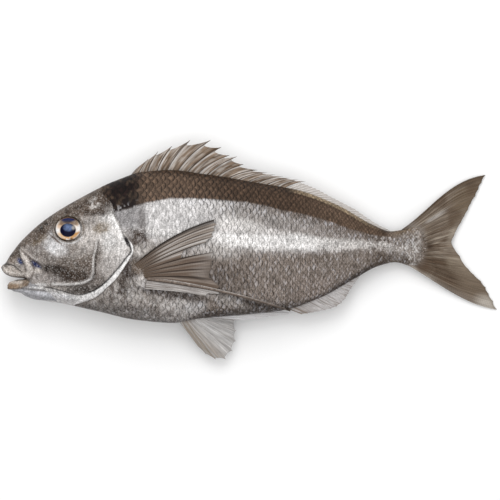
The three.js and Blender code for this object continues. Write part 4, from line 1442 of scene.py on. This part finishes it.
# %% The side fin's rays
SIDE_BASE = path_through([(107.6, -11.4), (113, -19), (116.6, -23.4), (116, -31)], 101)
SIDE_RAYS = [  # share of the base line, tip, bow, reach of the skin in front and behind
    (0.00, (171.6, 24.6), 0.06, 0.98, 0.99),
    (0.06, (173.0, 20.4), 0.05, 0.99, 0.98),
    (0.13, (172.0, 15.6), 0.045, 0.98, 0.97),
    (0.20, (171.0, 11.0), 0.04, 0.97, 0.96),
    (0.27, (166.0, 6.6), 0.035, 0.96, 0.66),
    (0.34, (170.6, -1.6), 0.03, 0.56, 0.97),
    (0.41, (170.6, -8.0), 0.025, 0.97, 0.97),
    (0.48, (169.8, -15.0), 0.02, 0.97, 0.97),
    (0.55, (168.2, -22.6), 0.02, 0.97, 0.97),
    (0.62, (231.6, -48.6), 0.028, 0.44, 0.44),
    (0.76, (168.0, -34.6), 0.02, 0.97, 0.97),
    (0.88, (165.4, -36.8), 0.015, 0.97, 0.97),
    (1.00, (152.0, -34.4), 0.01, 0.97, 1.0),
]
LONG_RAY = 9  # the number of the long one, counted from 0
side_rays = [Ray(SIDE_BASE[round(100 * share)], tip, bow, curl=0, front=front, rear=rear)
             for share, tip, bow, front, rear in SIDE_RAYS]


def over_flank(x, y, u, t):
    """The left side fin's height: its upper blade lifts off the flank, the rest lies on it."""
    return skin_at(x, y) + 0.45 + (2.4 * rise(5, 3.5, u) + rise(8.6, 9.2, u)) * t**1.5


print("long ray, mm:", length_of(np.array([side_rays[LONG_RAY].base, side_rays[LONG_RAY].tip])))

# %% The left side fin


def paint_side(x, y, u, t):
    """Dark above, brown in the middle and pale at the lower rays. The middle blade is so thin
    that the flank shows through its outer part."""
    f = u - np.floor(u)
    upper, lower = rise(4.6, 4.2, u), rise(9.0, 9.2, u)
    streak, fine = cloud(u * 5, t * 2.5, 1, 101), cloud(u * 11, t * 3, 1, 103)
    outer = upper * rise(0.15, 0.5, t)
    ground = painted(bare((112, 97, 86), x), {
        "streaks": ((140, 128, 118), rise(0.5, 0.8, streak) * 0.6),
        "upper blade": ((168, 157, 148), outer * 0.75),
        "its light": ((226, 222, 219),
                      outer * ridge(f - 0.45, 0.3) * rise(0.3, 0.6, streak) * 0.95),
        "lower blade's end": ((128, 117, 110), rise(0.55, 0.95, t) * (1 - upper) * 0.5),
        "rays": ((42, 35, 30), on_ray(u, 0.1 + 0.03 * upper) * (1 - lower)
                 * rise(1.1, 0.8, t) * 0.88),
        "second line": ((70, 58, 50), ridge(f - 0.56, 0.06) * upper * rise(0.3, 0.5, t) * 0.8),
        "light by the rays": ((176, 166, 158), ridge(f - 0.24, 0.06) * (1 - lower) * 0.6),
        "upper edge": ((46, 40, 37), rise(0.9, 0.2, u) * 0.92),
        "lower rays": ((200, 195, 192), lower * 0.95),
        "their streaks": ((112, 101, 94), lower * rise(0.5, 0.75, fine) * 0.8),
        "base": ((104, 90, 78), rise(0.14, 0.02, t) * (1 - lower) * 0.8),
    })
    beneath, _, _ = paint_flank(x, y)
    clear = rise(4.8, 5.2, u) * rise(9, 8.6, u) * rise(0.7, 1, t + 0.2 * (streak - 0.5))
    return cross_fade(ground, beneath, clear * (1 - 0.6 * on_ray(u, 0.12)))


side_fin_left = build_fin("side_fin_left", side_rays, over_flank, paint_side, rows=110,
                          root=0.95, tip=0.3, film=0.3, branch=0.45, dip=0.01, fold=0.25)

# %% [markdown]
# The long ray stands free of any skin for most of its way, so it gets a bar of its own round the
# sheet's ray. It rides just over the flank and casts a thin shadow. Its lit upper side and shaded
# lower side are painted in as well.

# %% The long ray


def build_long_ray():
    """A tapered bar: an oval, wider than high, carried along the bowed line from the ray's base
    to its tip."""
    ray = side_rays[LONG_RAY]
    t, turn = np.meshgrid(np.linspace(0.01, 1, 120),
                          np.linspace(0, 2 * math.pi, 20, endpoint=False), indexing="ij")
    way = np.array(ray.tip) - ray.base
    side = np.array([-way[1], way[0]])
    bowed = ray.base + way * t[..., None] + side * (4 * ray.bow * t * (1 - t))[..., None]
    radius = 1.6 - 0.9 * t
    plane = bowed + side / np.hypot(*side) * (radius * np.cos(turn))[..., None]
    lift = 0.5 + 1.1 * rise(0, 0.4, t) * rise(1, 0.5, t)
    z = skin_at(bowed[..., 0], bowed[..., 1]) + lift + 0.8 * radius * np.sin(turn)
    up = np.cos(turn)
    tint = painted(bare((126, 113, 104), t), {
        # Painted highlight on the ray's upper side and painted shade on its lower side.
        "painted highlight on the upper side": ((196, 190, 186), ridge(up - 0.85, 0.4) * rise(0.05, 0.2, t) * 0.8),
        "painted shade on the lower side": ((56, 47, 41), rise(-0.4, -0.9, up) * 0.85),
        "outer part": ((92, 82, 75), rise(0.6, 1, t) * 0.7),
    })
    return tube("side_fin_long_ray", lay_down(np.concatenate([plane, z[..., None]], -1)),
                {"tint": tint}, np.stack([t * 3, turn / 6], -1))


long_ray = build_long_ray()

# %% [markdown]
# The right side fin has the same rays and is out of sight. It is pressed between the flank and
# the table, so its height follows whichever of them is nearer.

# %% The right side fin


def under_flank(x, y, u, t):
    """The right side fin's height: pressed between the flank and the table."""
    under = np.maximum(SKIN_OVER_TABLE, middle_height(x) - skin_at(x, y))
    return np.maximum(0.6, under - 0.3 - 0.4 * t) - middle_height(x)


side_fin_right = build_fin("side_fin_right", side_rays, under_flank, paint_side, rows=60,
                           root=0.5, tip=0.2, film=0.3, branch=0.45, dip=0.01)

# %% [markdown]
# ## Eyes
# A fish's eye is a flattened ball. What shows is the flat ring of the iris, white with gold
# streaks, round a large pupil, with the clear lens bulging through it. The blue over the pupil and
# along the upper edge is a painted reflection. A single surface is enough at this size: its front
# is nearly flat and leans with the cheek, it dips a little on the iris and swells over the pupil,
# and a clear coat makes it wet.

# %% The eye's colours
PUPIL_AT, PUPIL_RADII = (-0.03, -0.1), (0.58, 0.56)  # in eye radii


def paint_eye(px, py):
    """White iris, warm above and below as 1/2 - 1/2 cos(2 angle), with gold streaks. The dark pupil
    has a painted blue reflection, and the upper edge has another."""
    ring, angle = np.hypot(px, py), np.arctan2(py, px)
    from_pupil = np.hypot((px - PUPIL_AT[0]) / PUPIL_RADII[0], (py - PUPIL_AT[1]) / PUPIL_RADII[1])
    warm = 0.5 - 0.5 * np.cos(angle * 2 + 0.2)
    speckle, streaky, reflection_cloud = (cloud(px * k, py * k, 1, seed)
                              for k, seed in ((8, 111), (9, 113), (9, 112)))
    # Painted reflection: a blue patch over the pupil.
    haze = spot(px, py, (-0.01, 0.12), (0.36, 0.3), -12, 0.35) * rise(1.02, 0.9, from_pupil)
    return painted(bare((250, 248, 246), px), {
        "warm iris": ((216, 170, 120), rise(0.15, 0.6, warm * speckle)),
        "ring round the pupil": ((228, 182, 132),
                                 ridge(from_pupil - 1.09, 0.07) * (0.3 + 0.6 * warm)),
        "gold, lower right": ((206, 156, 100),
                              spot(px, py, (0.54, -0.5), (0.42, 0.13), 45) * (0.4 + streaky)),
        "gold, upper left": ((204, 160, 114), spot(px, py, (-0.62, 0.32), (0.2, 0.32), -35) * 0.75),
        "gold, upper right": ((212, 172, 126), spot(px, py, (0.64, 0.42), (0.13, 0.2), 20) * 0.7),
        "gold, lower left": ((222, 182, 132),
                             spot(px, py, (-0.54, -0.56), (0.32, 0.13), -45) * 0.75),
        "dark notch": ((96, 66, 40), spot(px, py, (0.22, -0.84), (0.12, 0.1)) * 0.8),
        "brown top": ((122, 102, 84), rise(0.2, 0.4, py) * rise(1.0, 1.08, from_pupil)
                      * rise(0.9, 0.55, np.abs(px)) * 0.9),
        # Painted reflection: blue along the upper edge.
        "painted blue reflection at the top": ((36, 44, 84), spot(px, py, (-0.04, 0.84), (0.62, 0.24), 0, 0.25)),
        "dark under it": ((48, 47, 62), spot(px, py, (-0.08, 0.6), (0.36, 0.12)) * 0.85),
        "outer edge": ((150, 118, 84), rise(0.86, 0.97, ring) * (0.1 + 0.75 * warm)),
        "pupil": ((16, 28, 48), rise(1.08, 0.98, from_pupil)),
        "haze": ((104, 122, 160), haze * (0.45 + 0.7 * reflection_cloud)),
        "grey speck": ((178, 174, 168), spot(px, py, (0.38, 0.1), (0.12, 0.16)) * 0.8),
    })


print("pupil, mm across:", round(2 * PUPIL_RADII[0] * EYE_RADII[0], 1))

# %% The eyeballs
EYE_OUT = 10.9  # mm from the fish's middle plane to the middle of the ball
EYE_LEAN = 0.2  # by how much the front leans in towards the top
DISC_DROP = 0.22  # share of the depth by which the front falls before its edge turns down


def build_eye(name, side):
    """A ball from polar rings, whose front is nearly flat: at distance r its depth is
    1 - 0.22 r^2 - 0.78 r^30, and it leans with the cheek."""
    polar = np.linspace(0.012, 1, 90)[:-1] * math.pi
    p, q = np.meshgrid(polar, np.linspace(0, 2 * math.pi, 96, endpoint=False), indexing="ij")
    px, py, pz = np.sin(p) * np.cos(q), np.sin(p) * np.sin(q), np.cos(p)
    ring = np.hypot(px, py)
    from_pupil = np.hypot((px - PUPIL_AT[0]) / PUPIL_RADII[0], (py - PUPIL_AT[1]) / PUPIL_RADII[1])
    front = rise(0, 0.2, pz)
    swell = front * (0.35 * rise(1.05, 0.4, from_pupil) - 0.2 * ridge(from_pupil - 1.3, 0.25))
    disc = 1 - DISC_DROP * ring**2 - (1 - DISC_DROP) * ring**30
    depth = np.where(pz > 0, disc, pz) * EYE_RADII[2]
    lean = EYE_LEAN * front * py * EYE_RADII[1]
    ball = np.stack([EYE_AT[0] + px * EYE_RADII[0], EYE_AT[1] + py * EYE_RADII[1],
                     side * (EYE_OUT + depth + swell - lean)], -1)
    return tube(name, lay_down(ball, contact=0.05), {"tint": paint_eye(px, py)})


eye_left = build_eye("eyeball_left", LEFT)
eye_right = build_eye("eyeball_right", RIGHT)

# %% [markdown]
# ## Shader maths
# A material is a small calculation made of nodes. Wiring each one by hand hides the formula, so
# a wrapper lets the formula be written as Python: adding two wrapped numbers adds an Add node.

# %% A wrapped number


class Number:
    """A number that varies over the surface, kept as a socket of a node."""

    def __init__(self, finish, socket):
        self.finish, self.socket = finish, socket

    def maths(self, operation, *others, clamp=False):
        """One Math node of this number and the others."""
        values = {0: self.socket}
        for k, other in enumerate(others):
            values[k + 1] = other.socket if isinstance(other, Number) else other
        node = self.finish.node("ShaderNodeMath", {"operation": operation, "use_clamp": clamp},
                                values)
        return Number(self.finish, node.outputs[0])

    def __add__(self, other):
        return self.maths("ADD", other)

    __radd__ = __add__

    def __mul__(self, other):
        return self.maths("MULTIPLY", other)

    __rmul__ = __mul__

    def __sub__(self, other):
        return self.maths("SUBTRACT", other)

    def __rsub__(self, other):
        return (self * -1) + other

    def __gt__(self, other):
        return self.maths("GREATER_THAN", other)

    def floor(self):
        """The whole number below."""
        return self.maths("FLOOR")

    def ceil(self):
        """The whole number above."""
        return self.maths("CEIL")

    def root(self):
        """The square root."""
        return self.maths("SQRT")

    def modulo(self, other):
        """What is left after taking away the other as often as it goes in."""
        return self.maths("FLOORED_MODULO", other)

    def clip(self):
        """Held between 0 and 1."""
        return self.maths("ADD", 0.0, clamp=True)

    def rise(self, start, end):
        """The same ease as the numpy one: 0 at start, 1 at end."""
        node = self.finish.node("ShaderNodeMapRange", {"interpolation_type": "SMOOTHSTEP"},
                                {"Value": self.socket, "From Min": start, "From Max": end})
        return Number(self.finish, node.outputs["Result"])


print("a number can:", [name for name in vars(Number) if not name.startswith("_")])

# %% [markdown]
# Everything that isn't plain maths comes from one method, node, which sets a node's settings
# first and its sockets after. The other methods only name the few nodes that this fish needs.

# %% A maker of materials


class Finish:
    """A material in the making, with one shader whose sockets are set by name."""

    def __init__(self, name):
        self.material = bpy.data.materials.new(name)
        self.material.use_nodes = True
        self.tree = self.material.node_tree
        self.shader = self.tree.nodes["Principled BSDF"]

    def node(self, kind, settings=None, values=None):
        """Adds a node, sets its settings, then sets or links its sockets."""
        node = self.tree.nodes.new(kind)
        for key, setting in (settings or {}).items():
            setattr(node, key, setting)
        for key, value in (values or {}).items():
            self.feed(node.inputs[key], value)
        return node

    def feed(self, socket, value):
        """Links what varies to a socket, and sets what doesn't as the socket's own value."""
        if isinstance(value, Number):
            value = value.socket
        if isinstance(value, bpy.types.NodeSocket):
            self.tree.links.new(value, socket)
        else:
            socket.default_value = value

    def surface(self, **values):
        """Feeds the shader's sockets, named with _ for a space."""
        for key, value in values.items():
            self.feed(self.shader.inputs[key.replace("_", " ")], value)

    def attribute(self, name):
        """A value stored on the mesh, as a colour and as a number."""
        node = self.node("ShaderNodeAttribute", {"attribute_name": name})
        return node.outputs["Color"], Number(self, node.outputs["Fac"])

    def lattice(self):
        """The two numbers of the piece's own map."""
        uv = self.node("ShaderNodeUVMap", {"uv_map": LATTICE})
        parts = self.node("ShaderNodeSeparateXYZ", None, {"Vector": uv.outputs["UV"]})
        return Number(self, parts.outputs["X"]), Number(self, parts.outputs["Y"])

    def place(self):
        """The point on the piece, in metres."""
        return self.node("ShaderNodeTexCoord").outputs["Object"]

    def noise(self, vector, scale, detail=2.0, stretch=(1, 1, 1)):
        """Smooth noise from 0 to 1, after the vector is stretched."""
        mapped = self.node("ShaderNodeMapping", None, {"Vector": vector, "Scale": stretch})
        node = self.node("ShaderNodeTexNoise", None,
                         {"Vector": mapped.outputs["Vector"], "Scale": scale, "Detail": detail})
        return Number(self, node.outputs["Fac"])

    def vector(self, *parts):
        """Three numbers as one vector."""
        return self.node("ShaderNodeCombineXYZ", None, dict(enumerate(parts))).outputs["Vector"]

    def blend(self, first, second, share):
        """Mixes a colour of the surface with a fixed one by a share from 0 to 1."""
        node = self.node("ShaderNodeMix", {"data_type": "RGBA", "blend_type": "MIX"},
                         {"Factor": share, 6: first, 7: (*second, 1.0)})
        return node.outputs[2]

    def scaled(self, colour, number):
        """The colour made brighter or darker by a number."""
        node = self.node("ShaderNodeVectorMath", {"operation": "SCALE"},
                         {0: colour, "Scale": number})
        return node.outputs["Vector"]

    def bump(self, height, distance, strength):
        """A normal that leans with the slope of the height, where 1 stands for the distance."""
        values = {"Height": height, "Distance": distance, "Strength": strength}
        return self.node("ShaderNodeBump", None, values).outputs["Normal"]


print("a finish can:", [name for name in vars(Finish) if not name.startswith("_")])

# %% [markdown]
# ## Skin
# The skin is silver because thin plates in it mirror the light, and wet because it is fresh. The
# colour comes from the painted layers. The shader adds what is too fine for the mesh: the rim of
# each scale, a chance brightness for each scale, a cool painted highlight on the scales' middles,
# and the glitter of the silver as painted glints.

# %% The scale formula as nodes


def tile_nodes(finish, a, b):
    """The scale formula again, as nodes: the gap to the showing scale's rear edge, the distance
    from the middle of its row, and the scale's own numbers."""
    row = b.floor()

    def of_row(number, off):
        reach = SCALE_REACH * (1 - off * off).clip().root()
        shift = 0.5 * number.modulo(2.0)
        start = a - reach - shift
        centre = start.ceil()
        return centre + shift, centre - start

    off = b - row
    here, here_gap = of_row(row, off)
    next_one, next_gap = of_row(row + 1, 1 - off)
    choose = here > next_one
    gap = here_gap + (next_gap - here_gap) * choose
    from_middle = off + (1 - off - off) * choose
    return gap, from_middle, here + (next_one - here) * choose, row + choose


print("reach of a scale's edge, in scales:", SCALE_REACH)

# %% The skin finish


def skin_finish():
    """The painted tint times a shade: darker at each scale's rim, brighter or darker by the scale's
    own chance, and grainy. A cool painted highlight lies on the scales' middles and painted glints
    on the silver."""
    finish = Finish("wet skin")
    tint, _ = finish.attribute("tint")
    _, silver = finish.attribute("silver")
    _, scaly = finish.attribute("scaly")
    gap, from_middle, scale_a, scale_b = tile_nodes(finish, *finish.lattice())
    own = finish.node("ShaderNodeTexWhiteNoise", {"noise_dimensions": "2D"},
                      {"Vector": finish.vector(scale_a, scale_b, 0.0)})
    chance = Number(finish, own.outputs["Value"])
    place = finish.place()
    grain = finish.noise(place, 950.0, 3.0)
    fleck = finish.noise(place, 520.0, 2.0, (1, 0.4, 1))
    cloudy = finish.noise(place, 110.0, 3.0)
    rim = gap.rise(0.2, 0.04) * (0.45 + 0.55 * from_middle.rise(1.0, 0.5)) * scaly
    middle = gap.rise(0.12, 0.4) * gap.rise(1.0, 0.6) * scaly
    boss = gap.rise(0.25, 0.5) * gap.rise(0.85, 0.6) * from_middle.rise(0.7, 0.1) * scaly
    shade = 1 - (rim * (0.5 + 0.5 * chance)).clip()
    shade = shade * (1 + middle * (chance * 0.4 - 0.1) + boss * silver.rise(0.08, 0.0) * 0.5)
    shade = shade * (1 + (grain - 0.5) * (1.5 + silver * 0.5))
    shade = shade * (1 + (fleck - 0.5) * 1.6)
    shade = shade * (1.1 - cloudy.rise(0.45, 0.75) * 0.28)
    # Painted highlight: a cool tint blended into the colour on the scales' middles.
    painted_sheen = (fleck.rise(0.45, 0.62) * chance * (0.5 + middle) * silver.rise(0.03, 0.09)
             * scaly * 0.26).clip()
    # Painted glints: white blended into the colour where the silver sparkles.
    painted_glint = (grain.rise(0.52, 0.68) * silver * 0.5).clip()
    colour = finish.blend(finish.scaled(tint, shade), light(182, 185, 193), painted_sheen)
    height = (1 - gap) * scaly * 0.6 + grain * 0.2 + fleck * 0.25
    finish.surface(Base_Color=finish.blend(colour, light(244, 243, 242), painted_glint),
                   Metallic=(silver * 0.3).clip(),
                   Roughness=(0.46 - silver * 0.1 + grain * 0.1).clip(),
                   Normal=finish.bump(height, 0.0004, 0.3), Specular_IOR_Level=0.12)
    return finish.material


skin_material = skin_finish()
print(skin_material.name, "nodes:", len(skin_material.node_tree.nodes))

# %% [markdown]
# Fin skin has fine streaks along its rays and faint bands across them, where the rays' joints
# are, so its noise is stretched along the fin's own map. The eye is nearly smooth and wet.

# %% Fin and eye finishes


def fin_finish():
    """The painted tint times two streaky noises, a little darker at the rays' joints."""
    finish = Finish("fin skin")
    tint, _ = finish.attribute("tint")
    u, t = finish.lattice()
    streak = finish.noise(finish.vector(u * 14.0, t * 3.0, 0.0), 1.0, 3.0)
    fibre = finish.noise(finish.vector(u * 40.0, t * 5.0, 0.0), 1.0, 2.0)
    wave = finish.node("ShaderNodeTexWave", {"wave_type": "BANDS", "bands_direction": "Y"},
                       {"Vector": finish.vector(u * 0.3, t, 0.0), "Scale": 14.0,
                        "Distortion": 1.5})
    joint = Number(finish, wave.outputs["Fac"])
    shade = (1 + (streak - 0.5) * 1.8) * (1 + (fibre - 0.5) * 1.6)
    shade = shade * (1.03 - joint.rise(0.6, 0.95) * 0.14)
    height = fibre * 0.6 + streak * 0.6 + joint * 0.2
    finish.surface(Base_Color=finish.scaled(tint, shade),
                   Roughness=(0.42 + fibre * 0.15).clip(),
                   Normal=finish.bump(height, 0.0003, 0.5), Specular_IOR_Level=0.12)
    return finish.material


def eye_finish():
    """The painted tint times a very fine noise, under a thin clear coat."""
    finish = Finish("wet eye")
    tint, _ = finish.attribute("tint")
    fine = finish.noise(finish.place(), 1500.0, 3.0)
    finish.surface(Base_Color=finish.scaled(tint, 1 + (fine - 0.5) * 0.8),
                   Roughness=(fine * 0.1 + 0.15).clip(), Specular_IOR_Level=0.04,
                   Coat_Weight=0.08, Coat_Roughness=0.03)
    return finish.material


fin_material, eye_material = fin_finish(), eye_finish()
print("finishes:", [material.name for material in (skin_material, fin_material, eye_material)])

# %% [markdown]
# ## Dressing the frame
# The solids of the packed model stay behind for weight and touch, and these pieces stand for
# them. The fish has no joints, so all of them ride on its one body.

# %% What stands for which solid
FINS = [spiny_fin, soft_fin, tail_fin, vent_fin, spread_fin, folded_fin, side_fin_left,
        long_ray, side_fin_right]
DRESSING = [(piece, skin_material, "fish", "skin") for piece in (trunk, head, jaw)]
DRESSING += [(fin, fin_material, "fish", "skin") for fin in FINS]
DRESSING += [(eye_left, eye_material, "eye_left", "eye"),
             (eye_right, eye_material, "eye_right", "eye")]
for piece, material, node, slot in DRESSING:
    piece.data.materials.append(material)
    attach(piece, "root")
    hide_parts(node)
print("pieces:", len(DRESSING))

# %% [markdown]
# ## Table, light and camera
# The fish lies on a plain white table under soft light, as for a catalogue. The camera looks
# straight down on the flank through a long lens, so that the outline isn't distorted.

# %% Table
FLOOR_SIZE = 12.0  # metres


def build_floor():
    """A square table top at height 0."""
    half = FLOOR_SIZE / 2
    mesh = bpy.data.meshes.new("table")
    mesh.from_pydata([(-half, -half, 0), (half, -half, 0), (half, half, 0), (-half, half, 0)],
                     [], [(0, 1, 2, 3)])
    table = bpy.data.objects.new("table", mesh)
    bpy.context.scene.collection.objects.link(table)
    finish = Finish("pale table")
    finish.surface(Base_Color=(0.93, 0.93, 0.93, 1), Roughness=0.8)
    mesh.materials.append(finish.material)


build_floor()
print("table, m:", FLOOR_SIZE)

# %% Lights


def area_light(name, place, size, energy):
    """A square soft light at a place, turned to face the fish."""
    lamp = bpy.data.lights.new(name, "AREA")
    lamp.size, lamp.energy = size, energy
    holder = bpy.data.objects.new(name, lamp)
    bpy.context.scene.collection.objects.link(holder)
    holder.location = place
    x, y, z = place
    holder.rotation_euler = (math.atan2(math.hypot(x, y), z), 0, math.atan2(x, -y))


area_light("key from the back's side", (-0.1, 0.7, 0.9), 0.7, 4.8)
area_light("fill from above", (0.0, 0.0, 1.6), 1.6, 8.0)
world = bpy.data.worlds.new("studio")
bpy.context.scene.world = world
world.use_nodes = True
world.node_tree.nodes["Background"].inputs["Color"].default_value = (1, 1, 1, 1)
world.node_tree.nodes["Background"].inputs["Strength"].default_value = 0.7
bpy.context.scene.view_settings.view_transform = "Standard"
print("lights:", len(bpy.data.lights))

# %% Camera
PICTURE = 500  # pixels along each side of the photograph
CENTRE_X = (PICTURE / 2 - 1) * PIXEL - TOTAL_LENGTH / 2  # the picture's middle, in mm
DISTANCE = 3.5  # metres from the camera to the height where a pixel is PIXEL wide
SHARP_HEIGHT = 24.0  # mm, that height: the fish's middle plane
camera = bpy.data.objects.new("camera", bpy.data.cameras.new("camera"))
bpy.context.scene.collection.objects.link(camera)
camera.data.sensor_width = 36.0
camera.data.lens = camera.data.sensor_width * DISTANCE / (PICTURE * PIXEL * MM)
camera.location = (CENTRE_X * MM, 0, DISTANCE + SHARP_HEIGHT * MM)
camera.data.clip_start, camera.data.clip_end = 0.1, 20
bpy.context.scene.camera = camera
print("lens, mm:", round(camera.data.lens, 1))
